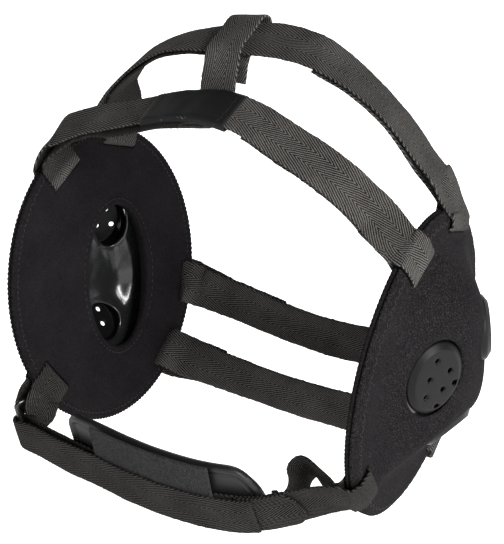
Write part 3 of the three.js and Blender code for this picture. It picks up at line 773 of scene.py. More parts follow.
def cover_top(back, up, blend=2.0):
    """The cover's outer face: a bell under the facets, down to a flat flange."""
    share = rim_share(back, up)
    flange = RIM_TOP + FLANGE_STEP * (1 - ease(SHELL_SHARE, STEP_SHARE, share))
    reach = min(share / BELL_REACH, 1)
    bell = BELL_SHARE * DOME_RISE * 0.5 * (1 + math.cos(math.pi * reach ** BELL_POWER))
    bell *= 1 - DIP_DEPTH * slot_dip(back, up)
    limits = [facet_height(vent, back, up) for vent in VENTS.values()]
    limits += [RIM_TOP + FLANGE_STEP + DOME_RISE, flange + bell]
    low = min(limits)
    total = sum(math.exp((low - limit) / blend) for limit in limits)
    skirt = 0.01 + SKIRT_BLEND * (1 - ease(*SKIRT, share))
    return soft_max(low - blend * math.log(total), flange, skirt)


def shell_top(back, up):
    """The shell's outer face, which sinks away from the cover where the dome is high."""
    risen = (cover_top(back, up) - RIM_TOP) / DOME_RISE
    sunk = SHELL_SINK * ease(0.5, 0.85, risen)
    return cover_top(back, up) - COVER_WALL - CLEARANCE - sunk


def pad_top(back, up):
    """The lining's face under the shell, which swells round the ear's opening."""
    return PAD_EDGE + PAD_SWELL * (1 - ease(0.42, 0.62, rim_share(back, up)))


print("dome height at the front vent:", round(cover_top(-16, 4), 1), "mm")

# %% [markdown]
# The cups aren't parallel on a head: they toe in, splay and lean a little. One
# matrix for each side turns a place on the cup into a place on the head.


# %% From the cup to the head
TOE, SPLAY, LEAN = 7.3, 6.7, 4.6


def cup_frame(side):
    turn = Euler([math.radians(a) for a in (-LEAN, side * SPLAY, side * TOE)], "XYZ")
    return Matrix.Translation((side * HEAD_WIDTH / 2, 0, 0)) @ turn.to_matrix().to_4x4()


CUP_FRAMES = {side: cup_frame(side) for side in (-1, 1)}


def on_head(side, outward, back, up):
    """A place on a cup, as a place on the head."""
    return CUP_FRAMES[side] @ Vector((side * outward, back, up))


def cup_points(side, points):
    """Moves points given as (back, up, outward) from a pattern onto a cup."""
    return np.array([tuple(on_head(side, out, back, up)) for back, up, out in points])


print("left cup stands at", [round(x, 1) for x in on_head(1, 0, 0, 0)])

# %% [markdown]
# ## Vented plates
#
# Each plate is an oval button of the shell that stands in a window of the
# cover: a flat top with countersunk holes, a broad sloping rim and a wall down
# to the shell. The top is a cut pattern with rounded holes, and the rim and
# wall are rings round it, so the light catches the slope as one clean band.


# %% A vent's own plane
def vent_frame(vent):
    """The matrix from a plate's own plane to (outward, back, up) on the cup."""
    outward = Vector((1, -vent["slope_back"], -vent["slope_up"])).normalized()
    turn = math.radians(vent["turn"])
    upward = Vector((0, math.sin(turn), math.cos(turn)))
    upward = (upward - outward * upward.dot(outward)).normalized()
    across = upward.cross(outward)
    back, up = vent["back"] * HALF_WIDE, vent["up"] * HALF_HIGH
    middle = Vector((facet_height(vent, back, up), back, up))
    axes = Matrix((across, upward, outward)).transposed().to_4x4()
    return Matrix.Translation(middle) @ axes


def vent_loop(vent, shrink, step=1.2):
    """The window's outline in (back, up), smaller by shrink all round."""
    matrix = vent_frame(vent)
    width, length = vent["width"] * CUP_WIDTH, vent["length"] * CUP_HEIGHT
    flat = ellipse(width - 2 * shrink, length - 2 * shrink, step=step)
    return np.array([tuple((matrix @ Vector((x, y, 0)))[1:]) for x, y in flat])


PLATE_HOLE, HOLE_ROUND = 2.6, 0.8
PLATE_WALL, PLATE_CROWN = 1.5, 0.35
# Steps outward and down from the edge of the flat top, and of the dish inside
BEVEL_PROFILE = [(0.2, -0.05), (0.5, -0.3), (2.7, -1.9), (3.1, -2.3), (3.35, -2.9), (3.45, -4.5)]
DISH_PROFILE = [(0.25, -0.05), (0.6, -0.4), (0.75, -1.2)]


def foot_level(matrix, x, y):
    """How deep in its own plane a plate's wall meets the middle of the shell."""
    level = -4.0
    for _ in range(12):
        spot = matrix @ Vector((x, y, level))
        level -= spot.x - shell_top(spot.y, spot.z) + SHELL_WALL / 2
    return level


print("the front plate's middle is", round(vent_frame(VENTS["front"]).translation.x, 1), "mm up")


# %% A plate
def plate(vent):
    """A vented plate as (back, up, outward) points, faces and cloth."""
    width, length = vent["width"] * CUP_WIDTH, vent["length"] * CUP_HEIGHT
    shrink = 1 - 2 * PLATE_BEVEL / min(width, length)
    outline = ellipse(width * shrink, length * shrink, step=0.8)
    holes = [(ellipse(PLATE_HOLE, PLATE_HOLE, (a * width / 2, b * length / 2), step=0.45), HOLE_ROUND)
             for a, b in vent["holes"]]

    def crown(x, y):
        return PLATE_PROUD - PLATE_CROWN * ((2 * x / width) ** 2 + (2 * y / length) ** 2)

    def floor(x, y):
        return crown(x, y) - PLATE_WALL

    pattern = cut((outline, 0), holes, spacing=1.3)
    flat, faces, cloth = slab(pattern, floor, crown, closed=False)
    count = len(flat) // 2
    edges = open_edges([face for face in faces if max(face) < count])
    faces += [(b, a, a + count, b + count) for a, b in edges if pattern["edge"][a] > 0]
    matrix = vent_frame(vent)
    points = [matrix @ Vector(p) for p in flat]
    cloth = [tuple(c) for c in cloth]
    rim = [a for a, b in edges if pattern["edge"][a] == 0]
    rim.sort(key=lambda i: math.atan2(flat[i][1] / length, flat[i][0] / width))
    for start, profile in ((0, BEVEL_PROFILE), (count, DISH_PROFILE)):
        ring = [start + i for i in rim]
        for grow, drop in [*profile, (profile[-1][0], None)]:
            fresh = []
            for i in rim:
                x, y = flat[i][:2]
                way = Vector((x / width ** 2, y / length ** 2)).normalized()
                x, y = x + way.x * grow, y + way.y * grow
                level = foot_level(matrix, x, y) if drop is None else flat[start + i][2] + drop
                fresh.append(len(points))
                points.append(matrix @ Vector((x, y, level)))
                cloth.append((x, y, 1))
            for k in range(len(rim)):
                n = (k + 1) % len(rim)
                face = (ring[k], fresh[k], fresh[n], ring[n])
                faces.append(face if start == 0 else face[::-1])
            ring = fresh
    return np.array([(p.y, p.z, p.x) for p in points]), faces, np.array(cloth)


print("plates:", ", ".join(VENTS))

# %% [markdown]
# ## The shell
#
# Between the plates the shell lies deeper than the cover, which is why the
# plates look like dishes from the inside. One moulding carries all three, so
# the sheet is cut open under each plate and the plate's wall stands on the cut.


# %% Shell pieces
SHELL_ROUND, WINDOW_UNDERLAP = 0.85, 3.1


def slot_holes(radius):
    """The five slots as holes for a pattern, with rounded edges."""
    size = (WEB_WIDTH + SLOT_SLACK, WEB_THICKNESS + 2 * SLOT_CLEARANCE)
    return [(slot_loop(centre, along, *size), radius) for centre, along, *_ in SLOT_PLACES]


shell_rim = ellipse(CUP_WIDTH * SHELL_SHARE, CUP_HEIGHT * SHELL_SHARE)
shell_windows = [(vent_loop(vent, WINDOW_UNDERLAP), SHELL_ROUND) for vent in VENTS.values()]
shell_flat = cut((shell_rim, SHELL_ROUND), slot_holes(0.5) + shell_windows, spacing=1.9)
shell_sheet = slab(shell_flat, lambda b, u: shell_top(b, u) - SHELL_WALL, shell_top)
plates = [plate(vent) for vent in VENTS.values()]
for side, word in SIDES:
    shell = Piece(f"{word}_ear_shell_moulding", side)
    points, faces, cloth = shell_sheet
    shell.add(cup_points(side, points), faces, shell_gloss, cloth)
    for points, faces, cloth in plates:
        shell.add(cup_points(side, points), faces, plate_satin, cloth)
    shell.make("shell_plastic", f"{word}_ear_shell")

# %% [markdown]
# ## Padding and cover
#
# The lining is foam faced with smooth jersey. It is thin at the rim, where it
# is overlocked to the cover, and swells round the opening for the ear. The
# overlocked rim is not a clean oval: each stitch pulls it in a little, so its
# loop has a small ripple at the pitch of the stitches.


# %% The padding
OPENING_CENTRE = (OPENING_WIDTH * 0.22, OPENING_HEIGHT * -0.04)
RIM_PITCH, RIM_RIPPLE = 2.3, 0.7
LINING_SEAM, OPENING_SEAM, COVER_SEAM = 3.6, 3.4, 4.6


def quilted(height, rim_depth, opening_depth):
    """A height with a shallow groove where the rows of stitches pull it in."""

    def lowered(back, up):
        rim = (1 - rim_share(back, up)) * (HALF_WIDE + HALF_HIGH) / 2
        hole = (math.hypot((back - OPENING_CENTRE[0]) / OPENING_WIDTH,
                           (up - OPENING_CENTRE[1]) / OPENING_HEIGHT) - 0.5) * 58
        groove = rim_depth * math.exp(-((rim - LINING_SEAM) / 1.1) ** 2)
        groove += opening_depth * math.exp(-((hole - OPENING_SEAM) / 1.2) ** 2)
        return height(back, up) + groove

    return lowered


print("the opening's centre is", [round(x, 1) for x in OPENING_CENTRE], "mm from the cup's")


def unevenness(back, up):
    """Soft hollows of cloth over foam."""
    return noise.noise(Vector((back * 0.045, up * 0.045, 3.1))) * 0.5


pad_under = quilted(lambda b, u: unevenness(b, u) * 0.6 * (1 - rim_share(b, u) ** 4), 0.45, 0.5)
opening = (ellipse(OPENING_WIDTH, OPENING_HEIGHT, OPENING_CENTRE), 1.5)
rim_loop = ellipse(CUP_WIDTH, CUP_HEIGHT, step=0.55, ripple=RIM_RIPPLE, pitch=RIM_PITCH)
pad_flat = cut((rim_loop, 1.15), [opening, *slot_holes(0.6)], spacing=2.0)
pad_sheet = slab(pad_flat, pad_under, pad_top)


def rim_row(inset, step):
    """Places along the rim at even steps, so far in from its edge."""
    return ellipse(CUP_WIDTH - 2 * inset, CUP_HEIGHT - 2 * inset, step=step)


print("a row near the rim has", len(rim_row(LINING_SEAM, 2.6)), "stitches")


# %% Seams and linings
def seam(piece, side, places, height, lift, length, radius, sway):
    """A row of short stitches on a face of the cup, swaying for a zigzag."""
    count = len(places)
    for i, (back, up) in enumerate(places):
        ahead = places[(i + 1) % count]
        run = Vector((ahead[0] - back, ahead[1] - up)).normalized()
        out = Vector((run.y, -run.x))
        spots = []
        for share, rise in ((-0.5, -0.3), (-0.2, 0.6), (0.2, 0.6), (0.5, -0.3)):
            shift = sway * (1 if i % 2 else -1) * share * 2
            b = back + run.x * share * length + out.x * shift
            u = up + run.y * share * length + out.y * shift
            spots.append(on_head(side, height(b, u) + lift * rise, b, u))
        points, faces = tube(spots, radius)
        if side < 0:
            faces = [face[::-1] for face in faces]
        piece.add(points, faces, thread_dark)


for side, word in SIDES:
    pad = Piece(f"{word}_ear_lining", side)
    points, faces, cloth = pad_sheet
    pad.add(cup_points(side, points), faces, lining_cloth, cloth)
    seam(pad, side, rim_row(LINING_SEAM, 2.6), pad_under, lift=-0.32, length=2.0, radius=0.17, sway=0.5)
    hole_row = ellipse(OPENING_WIDTH + 2 * OPENING_SEAM, OPENING_HEIGHT + 2 * OPENING_SEAM,
                       OPENING_CENTRE, step=3.0)
    seam(pad, side, hole_row, pad_under, lift=-0.3, length=1.9, radius=0.16, sway=0.0)
    made = pad.make("ear_foam", f"{word}_ear_pad")

# %% [markdown]
# The cover is one sheet of neoprene, stretched over the shell and held by the
# overlocked rim. Its three windows are cut a little larger than the plates.


# %% The cover
def cover_over(back, up):
    return cover_top(back, up) + unevenness(back, up) * 0.5 * (1 - rim_share(back, up) ** 6)


cover_face = quilted(cover_over, -0.35, 0.0)
WINDOW_GAP = 0.35
cover_windows = [(vent_loop(vent, -WINDOW_GAP), 0.85) for vent in VENTS.values()]
cover_flat = cut((rim_loop, 0.88), slot_holes(0.7) + cover_windows, spacing=1.7)
cover_sheet = slab(cover_flat, lambda b, u: cover_top(b, u) - COVER_WALL, cover_face)
for side, word in SIDES:
    cover = Piece(f"{word}_ear_neoprene", side)
    points, faces, cloth = cover_sheet
    cover.add(cup_points(side, points), faces, cover_cloth, cloth)
    seam(cover, side, rim_row(COVER_SEAM, 2.5), cover_face, lift=0.34, length=2.4, radius=0.17, sway=1.1)
    made = cover.make("cover_neoprene", f"{word}_ear_cover")

# %% [markdown]
# ## Tape along a path
#
# A strap is swept tape. Its middle line runs through a few stations, each with
# the direction of the tape's width. A curve bevel can't control that direction
# through a slot, so the sweep is done here: a smooth line through the stations,
# a flat section with round edges, slow unevenness shared by layers that touch,
# and an edge that wanders a little, as woven selvedge does.


# %% Smooth paths
def smooth(stations, step=1.5, closed=False):
    """Even steps along a rounded line through the stations."""
    spots = [s["at"] for s in stations]
    if closed:
        spots = [spots[-1], *spots, spots[0], spots[1]]
        stations = [stations[-1], *stations, stations[0], stations[1]]
    else:
        spots = [spots[0] * 2 - spots[1], *spots, spots[-1] * 2 - spots[-2]]
        stations = [stations[0], *stations, stations[-1]]
    wides = []
    for s in stations:
        wide = s["wide"].copy()
        if wides and wide.dot(wides[-1]) < 0:
            wide.negate()
        wides.append(wide)
    widths = [s.get("width", 1.0) for s in stations]
    fine = []
    for i in range(1, len(spots) - 2):
        p = spots[i - 1:i + 3]
        knots = [0.0]
        for a, b in zip(p, p[1:]):
            knots.append(knots[-1] + max((b - a).length, 1e-4) ** 0.5)
        pieces = max(4, round((p[2] - p[1]).length / 0.5))
        for k in range(pieces):
            t = knots[1] + (knots[2] - knots[1]) * k / pieces
            line = p
            for level in (1, 2, 3):
                line = [line[j].lerp(line[j + 1], catmull_share(knots, level, j, t))
                        for j in range(len(line) - 1)]
            share = k / pieces
            fine.append((line[0], wides[i].lerp(wides[i + 1], share).normalized(),
                         widths[i] * (1 - share) + widths[i + 1] * share))
    if not closed:
        fine.append((spots[-2], wides[-2], widths[-2]))
    return evened(fine, step)


def catmull_share(knots, level, j, t):
    """The share for one level of the Catmull-Rom pyramid."""
    low, high = ((j, j + 1), (j, j + 2), (1, 2))[level - 1]
    return (t - knots[low]) / (knots[high] - knots[low])


def evened(fine, step):
    """The same line at even steps, with its run and how far along each spot is."""
    lengths = [0.0]
    for a, b in zip(fine, fine[1:]):
        lengths.append(lengths[-1] + (b[0] - a[0]).length)
    count = max(2, round(lengths[-1] / step))
    path = []
    at = 0
    for i in range(count + 1):
        goal = lengths[-1] * i / count
        while at < len(fine) - 2 and lengths[at + 1] < goal:
            at += 1
        share = (goal - lengths[at]) / max(lengths[at + 1] - lengths[at], 1e-9)
        a, b = fine[at], fine[at + 1]
        path.append({"at": a[0].lerp(b[0], share), "wide": a[1].lerp(b[1], share).normalized(),
                     "width": a[2] * (1 - share) + b[2] * share, "far": goal})
    for i, spot in enumerate(path):
        run = path[min(i + 1, count)]["at"] - path[max(i - 1, 0)]["at"]
        spot["run"] = run.normalized()
    return path


def squared(path, rounds=2):
    """Turns each width square to the run, and evens out sudden turns."""
    for spot in path:
        spot["wide"] = (spot["wide"] - spot["run"] * spot["wide"].dot(spot["run"])).normalized()
    for _ in range(rounds):
        wides = [spot["wide"] for spot in path]
        for i, spot in enumerate(path):
            total = wides[max(i - 1, 0)] + wides[i] + wides[min(i + 1, len(path) - 1)]
            total -= spot["run"] * total.dot(spot["run"])
            spot["wide"] = total.normalized()
    for spot in path:
        spot["normal"] = spot["run"].cross(spot["wide"]).normalized()
    return path


print("a smooth path is given every", smooth.__defaults__[0], "mm")


# %% Sweeping tape
END_FIBRES = 26


def tape_section(half_width, half_thick, count=11):
    """Half a section's points: across and off the middle, right round."""
    inner = half_width - half_thick
    shares = [inner * (1 - 2 * k / (count - 1)) for k in range(count)]
    top = [(w, half_thick) for w in shares]
    left = [(-inner - half_thick * 0.7, half_thick * 0.7), (-half_width, 0),
            (-inner - half_thick * 0.7, -half_thick * 0.7)]
    bottom = [(w, -half_thick) for w in shares[::-1]]
    right = [(-w, -t) for w, t in left]
    return top + left + bottom + right


def tape(stations, closed=False, step=1.5, uneven=0.35, rounds=2):
    """Swept tape: points, faces, cloth and its path."""
    path = smooth(stations, step, closed)
    squared(path, rounds)
    points, cloth = [], []
    for spot in path:
        half = WEB_WIDTH * spot["width"] / 2
        lump = noise.noise(spot["at"] * 0.055) * uneven
        for w, t in tape_section(half, WEB_THICKNESS / 2):
            edge = max(abs(w) / half - 0.75, 0) * 4
            wander = noise.noise(Vector((spot["far"] * 0.42, math.copysign(9, w), 0))) * 0.9 * edge
            wander += noise.noise(Vector((spot["far"] * 0.06, math.copysign(5, w), 6))) * 0.8 * edge
            cup = noise.noise(Vector((spot["far"] * 0.05, w * 0.09, 4))) * uneven
            place = spot["at"] + spot["wide"] * (w + math.copysign(wander, w) * 0.8)
            place = place + spot["normal"] * (t + lump + cup)
            points.append(tuple(place))
            cloth.append((w, spot["far"], t))
    size = len(tape_section(1, 0.5))
    rows = len(path)
    faces = []
    for i in range(rows if closed else rows - 1):
        a, b = i * size, (i + 1) % rows * size
        faces += [(a + k, b + k, b + (k + 1) % size, a + (k + 1) % size) for k in range(size)]
    if not closed:
        faces.append(tuple(range(size)))
        faces.append(tuple(range((rows - 1) * size, rows * size))[::-1])
    return np.array(points), faces, np.array(cloth), path


def fringe(piece, path, finish, every=1.5, longest=1.9, ends=()):
    """Stray fibres along both edges of tape, and thicker at its cut ends."""
    for spot in path[1:-1]:
        for way in (-1, 1):
            if chance.random() > 1.5 / every:
                continue
            root = spot["at"] + spot["wide"] * way * WEB_WIDTH * spot["width"] / 2
            lean = spot["run"] * chance.uniform(-0.9, 0.9)
            lean += spot["normal"] * chance.uniform(-0.5, 0.5)
            outward = (spot["wide"] * way + lean).normalized()
            points, faces = stray(root, outward, longest * chance.random() ** 2 + 0.5, 0.12)
            piece.add(points, faces, finish)
    for end in ends:
        spot = path[0 if end == "start" else -1]
        outward = -spot["run"] if end == "start" else spot["run"]
        for _ in range(END_FIBRES):
            root = spot["at"] + spot["wide"] * chance.uniform(-0.5, 0.5) * WEB_WIDTH * spot["width"]
            points, faces = stray(root, outward, chance.uniform(0.4, 1.6), 0.1)
            piece.add(points, faces, finish)


print("a tape's section has", len(tape_section(WEB_WIDTH / 2, WEB_THICKNESS / 2)), "points")

# %% [markdown]
# ## Routes of the straps
#
# The middle line of each strap is given by a few rows: how far along from the
# right cup to the left, how high or far out, and how the width leans. At a cup
# the tape passes over the rim, through the slot and back beneath itself.


# %% Rows of the five routes
CLOTH_LIFT = CLEARANCE + WEB_THICKNESS / 2
SLOT_LIFT, SLOT_BEND, SLOT_OVERHANG = 0.25, 2.0, 4.0
INNER_LIFT = 2.2
LAYER_STEP = WEB_THICKNESS + 0.9
FRONT_RISE, REAR_RISE, CROWN_LEAN = 61, 80, 11.5

# Each row is a way, a rise and a lean in degrees
FRONT_ROWS = [
    (-0.05, 0.16, 46), (-0.042, 0.31, 44), (0.109, 0.593, 28), (0.235, 0.738, 25),
    (0.355, 0.89, 25), (0.45, 0.975, 25), (0.493, 0.998, 25), (0.575, 0.984, 27),
    (0.639, 0.923, 31), (0.702, 0.826, 34), (0.791, 0.7, 36), (0.873, 0.539, 37),
    (0.93, 0.384, 38),
]
REAR_ROWS = [
    (-0.009, 0.26, -12), (0.007, 0.34, -2), (0.074, 0.545, 14), (0.126, 0.665, 18),
    (0.234, 0.825, 12), (0.318, 0.895, 15), (0.414, 0.945, 25), (0.492, 0.98, 31),
    (0.56, 1, 33), (0.68, 0.985, 25), (0.76, 0.904, 12), (0.816, 0.826, 2),
    (0.878, 0.711, -6), (0.919, 0.604, -10), (0.968, 0.449, -13), (1.008, 0.336, -14),
]

# Each row is a way, a bow, a drop and a lean in degrees
UPPER_BOW, UPPER_DROP = 15.5, 16.5
UPPER_ROWS = [
    (0.04, 0.3, 0.2, 82), (0.15, 0.65, 0.5, 88), (0.32, 0.94, 0.86, 90), (0.5, 1, 1, 90),
    (0.68, 0.94, 0.86, 90), (0.85, 0.65, 0.5, 88), (0.96, 0.3, 0.2, 82),
]
LOWER_BOW, LOWER_DROP = 12, 12.5
LOWER_ROWS = [
    (0.06, 0.45, 0.35, 60), (0.16, 0.72, 0.65, 82), (0.32, 0.93, 0.9, 90), (0.5, 1, 1, 90),
    (0.68, 0.93, 0.9, 90), (0.84, 0.72, 0.65, 82), (0.94, 0.45, 0.35, 60),
]
CHIN_BOW, CHIN_DROP = 28, 30
CHIN_ROWS = [
    (-0.015, 0.66, 0.86, 107), (0.119, 0.85, 0.85, 107), (0.282, 0.98, 0.87, 107),
    (0.391, 1, 0.93, 107), (0.5, 0.965, 0.98, 107), (0.636, 0.82, 1, 108),
    (0.745, 0.58, 0.95, 110), (0.83, 0.42, 0.76, 114), (0.92, 0.36, 0.5, 122),
]
print("rows:", len(FRONT_ROWS), len(REAR_ROWS), len(UPPER_ROWS), len(LOWER_ROWS), len(CHIN_ROWS))


# %% Stations along a route
def between_slots(slot, way):
    """A place on the line from the right cup's slot, at 0, to the left one's, at 1."""
    centre = slot_place(SLOTS[slot])[0]
    return on_head(-1, 0, *centre).lerp(on_head(1, 0, *centre), way)


def wide_at(lean):
    """The direction of the width: 0 points to the back and 90 up."""
    return Vector((0, math.cos(math.radians(lean)), math.sin(math.radians(lean))))


def crown_route(rows, slot, rise):
    """A strap that rises over the crown."""
    lean_back = math.radians(CROWN_LEAN)
    direction = Vector((0, -math.sin(lean_back), math.cos(lean_back)))
    return [{"at": between_slots(slot, way) + direction * rise * up,
             "wide": wide_at(lean), "way": way} for way, up, lean in rows]


def low_route(rows, slot, bow, drop):
    """A strap that bows out behind the head, or in front of it, and drops."""
    return [{"at": between_slots(slot, way) + Vector((0, bow * out, -drop * down)),
             "wide": wide_at(lean), "way": way} for way, out, down, lean in rows]


def refined(stations):
    """More stations on the same rounded line, each with its way."""
    fine = smooth(stations, 2.5)
    ways = [s["way"] for s in stations]
    marks = []
    for station in stations:
        nearest = min(fine, key=lambda spot: (spot["at"] - station["at"]).length)
        marks.append(nearest["far"])
    for spot in fine:
        spot["way"] = float(np.interp(spot["far"], marks, ways))
        spot["width"] = 1.0
    return fine


def layer(stations, gap):
    """The same tape lying on the first, further from the head above 0."""
    result = []
    for i, station in enumerate(stations):
        run = stations[min(i + 1, len(stations) - 1)]["at"] - stations[max(i - 1, 0)]["at"]
        normal = run.cross(station["wide"]).normalized()
        if normal.dot(station["at"]) < 0:
            normal.negate()
        result.append({**station, "at": station["at"] + normal * gap})
    return result


def between(stations, low, high):
    """The stations between two ways."""
    return [s for s in stations if low <= s["way"] <= high]


print("the cups' front slots are", round((between_slots("front_top", 1)
                                          - between_slots("front_top", 0)).length), "mm apart")

# %% [markdown]
# At a slot the tape lies in the dip outward of it, bends through it and lies
# flat on the lining inside. These stretches are worked out once for a slot, and
# each strap takes those that it needs, in its order.


# %% A strap at a slot
def slot_run(side, name):
    """The stretches of a strap at a slot, from past the rim to inside."""
    centre, along, out, reach = slot_place(SLOTS[name])
    origin = on_head(side, 0, 0, 0)
    wide = (on_head(side, 0, *along) - origin).normalized()

    def station(far, outward):
        return {"at": on_head(side, outward, *(centre + out * far)), "wide": wide.copy()}

    def lifted(far):
        top = RIM_TOP
        for share in (-0.5, -0.25, 0, 0.25, 0.5):
            for step in (-1, 0, 1):
                spot = centre + out * (far + step * WEB_THICKNESS) + along * share * WEB_WIDTH
                if rim_share(*spot) < 1:
                    top = max(top, cover_top(*spot))
        return top + CLOTH_LIFT + SLOT_LIFT

    high = lifted(0)
    bends = [(SLOT_BEND * (1 - math.sin(t)), SLOT_BEND * (1 - math.cos(t)))
             for t in (0, math.pi / 4, math.pi / 2)]
    down = [SLOT_BEND + share * (reach - SLOT_BEND) for share in (1, 0.7, 0.4)]
    beyond, clear = reach + SLOT_OVERHANG, reach + SLOT_OVERHANG / 2
    outside = [station(far, lifted(far)) for far in down]
    inside_run = [station(far, depth - CLOTH_LIFT) for far, depth in bends[::-1]]
    return {
        "past_outside": [station(beyond, lifted(reach))],
        "round_rim": [station(clear, 0), station(clear, RIM_TOP)],
        "outside": outside + [station(far, high - depth) for far, depth in bends],
        "inside": inside_run + [station(reach, -CLOTH_LIFT)],
        "past_inside": [station(beyond, -INNER_LIFT * CLOTH_LIFT)],
        "straight": [station(0, WEB_THICKNESS), station(0, -2 * CLOTH_LIFT - WEB_THICKNESS)],
    }


print("a strap at the front slot has", sum(len(run) for run in slot_run(1, "front_top").values()),
      "stations")


# %% Returns
def slack(stations, reach):
    """Lets a return hang in a loop, furthest from the strap near the cup."""
    last = len(stations) - 1
    result = []
    for i, station in enumerate(stations):
        share = ease(0.2, 0.85, i / last)
        inward = Vector((-station["at"].x, -station["at"].y, 0)).normalized()
        moved = (inward * 0.8 + Vector((0, 0, 0.6))) * reach * share
        result.append({**station, "at": station["at"] + moved})
    return result


def slipped(stations, gap):
    """Lets a return slide out to the front of its strap, but not at the cup."""
    last = len(stations) - 1
    return [{**s, "at": s["at"] - s["wide"] * gap * ease(0.1, 0.5, i / last)}
            for i, s in enumerate(stations)]


def over_end(main, side, slot, join, end, rounds_rim=False, loop=0, slip=0):
    """Down the outside of a cup, through its slot and back beneath the strap.

    The return lies between the ways join and end. loop is how far it hangs
    loose and slip how far it slides out, in mm."""
    run = slot_run(side, slot)
    under = between(layer(main, -LAYER_STEP), min(join, end), max(join, end))
    if loop:
        under = slack(under, loop)
    if slip:
        under = slipped(under, slip)
    past = [] if rounds_rim else run["past_inside"]
    first = run["round_rim"] if rounds_rim else []
    return first + run["outside"] + run["inside"] + past + (under[::-1] if side > 0 else under)


def behind_end(main, side, slot, join, end):
    """Out through a cup and back behind the strap."""
    run = slot_run(side, slot)
    over = between(layer(main, LAYER_STEP), min(join, end), max(join, end))
    return (run["straight"][::-1] + run["outside"][::-1] + run["past_outside"]
            + (over[::-1] if side > 0 else over))


print("a strap's end has", len(slot_run(1, "top")["inside"]), "stations on the lining")

# %% The five middle lines
front_main = refined(crown_route(FRONT_ROWS, "front_top", FRONT_RISE))
rear_main = refined(crown_route(REAR_ROWS, "top", REAR_RISE))
upper_main = refined(low_route(UPPER_ROWS, "back_upper", UPPER_BOW, UPPER_DROP))
lower_main = refined(low_route(LOWER_ROWS, "back_lower", LOWER_BOW, LOWER_DROP))
chin_inner = refined(low_route(CHIN_ROWS, "chin", -CHIN_BOW, CHIN_DROP))
print("front strap spans", round(front_main[-1]["far"]), "mm between the cups")

# %% [markdown]
# Where a return is sewn down, two rows of short stitches cross the tape. Each
# stitch dips into the cloth at its ends, so the row reads as sewn, not glued.


# %% Tacks
TACK_PITCH, TACK_GAP, TACK_RADIUS = 1.9, 1.6, 0.16


def tack(piece, spot, width, lift, finish, rows=2):
    """Rows of stitches across tape, where a return is sewn down."""
    for row in range(rows):
        middle = spot["at"] + spot["run"] * (row * TACK_GAP)
        count = int(width / TACK_PITCH)
        for k in range(count):
            w = (k - (count - 1) / 2) * TACK_PITCH
            dots = []
            for share, rise in ((-0.5, -0.2), (-0.2, 0.25), (0.2, 0.25), (0.5, -0.2)):
                dots.append(middle + spot["wide"] * (w + share * 1.5) + spot["run"] * (k % 2) * 0.5
                            + spot["normal"] * (lift + math.copysign(rise, lift)))
            points, faces = tube(dots, TACK_RADIUS)
            piece.add(points, faces, finish)


print("a tack across the tape has", int((WEB_WIDTH - 2) / TACK_PITCH), "stitches a row")


# %% [markdown]
# ## Straps over the crown and behind the head
#
# All four are made alike, so one function sweeps the tape, frays it and tacks
# its returns. The crown straps lie over the cups and turn in through the slots.
# The back straps come out through them and turn back on the outside.


# %% Crown and back straps
def strap(name, stations, cloth_finish, node, **tape_settings):
    """One strap: its tape, its stray fibres and the tacks near both ends."""
    piece = Piece(name)
    points, faces, cloth, path = tape(stations, **tape_settings)
    piece.add(points, faces, cloth_finish, cloth)
    fringe(piece, path, cloth_finish, ends=("start", "finish"))
    tack(piece, path[4], WEB_WIDTH - 2, WEB_THICKNESS / 2, thread_dark)
    tack(piece, path[-6], WEB_WIDTH - 2, WEB_THICKNESS / 2, thread_dark)
    print(name, "is", round(path[-1]["far"]), "mm of tape")
    return piece.make("webbing", node)


def over_strap(main, slot, right, left, room=0):
    """The whole tape. The turn at the right cup takes up the first few stations."""
    return over_end(main, -1, slot, **right)[::-1] + main[room:] + over_end(main, 1, slot, **left)


def behind_strap(main, slot, right, left):
    """The whole tape of a strap behind the head."""
    return behind_end(main, -1, slot, **right)[::-1] + main + behind_end(main, 1, slot, **left)


def reach_of(join, end, **ways):
    """Where a return leaves its strap's end and where it is sewn down."""
    return {"join": join, "end": end, **ways}


front_tape = over_strap(front_main, "front_top", reach_of(0.06, 0.44, slip=3.5),
                        reach_of(1, 0.61, rounds_rim=True), room=7)
rear_tape = over_strap(rear_main, "top", reach_of(0.04, 0.4), reach_of(0.96, 0.7))
upper_tape = behind_strap(upper_main, "back_upper", reach_of(0.15, 0.33), reach_of(0.85, 0.67))
lower_tape = behind_strap(lower_main, "back_lower", reach_of(0.12, 0.2), reach_of(0.88, 0.8))
strap("front_strap", front_tape, front_cloth, "front_top_strap", rounds=5)
strap("rear_strap", rear_tape, rear_cloth, "rear_top_strap")
strap("nape_strap_upper", upper_tape, back_cloth, "upper_back_strap")
strap("nape_strap_lower", lower_tape, back_cloth, "lower_back_strap")


# %% [markdown]
# ## Cross strap and label
#
# A short strap ties the crown straps together: from under the front one, over
# the rear one and back below it. The woven label is a sleeve that hides where
# it starts. A sleeve is a closed tube of cloth, here two layers of thin tape
# joined at their edges, and it is left plain.


# %% Cross strap
CROSS_WAY, CROSS_SLACK, LABEL_THICKNESS = 0.452, 1.45, 0.6


def strap_frame(stations, way):
    """Gives stations that cross a strap, by how far sideways and how high."""
    i = min(range(len(stations)), key=lambda k: abs(stations[k]["way"] - way))
    run = (stations[i + 1]["at"] - stations[i - 1]["at"]).normalized()
    wide = stations[i]["wide"]
    wide = (wide - run * wide.dot(run)).normalized()
    normal = run.cross(wide).normalized()
    at = stations[i]["at"]
    return lambda sideways, height: {"wide": run.copy(), "at": at + wide * sideways + normal * height}


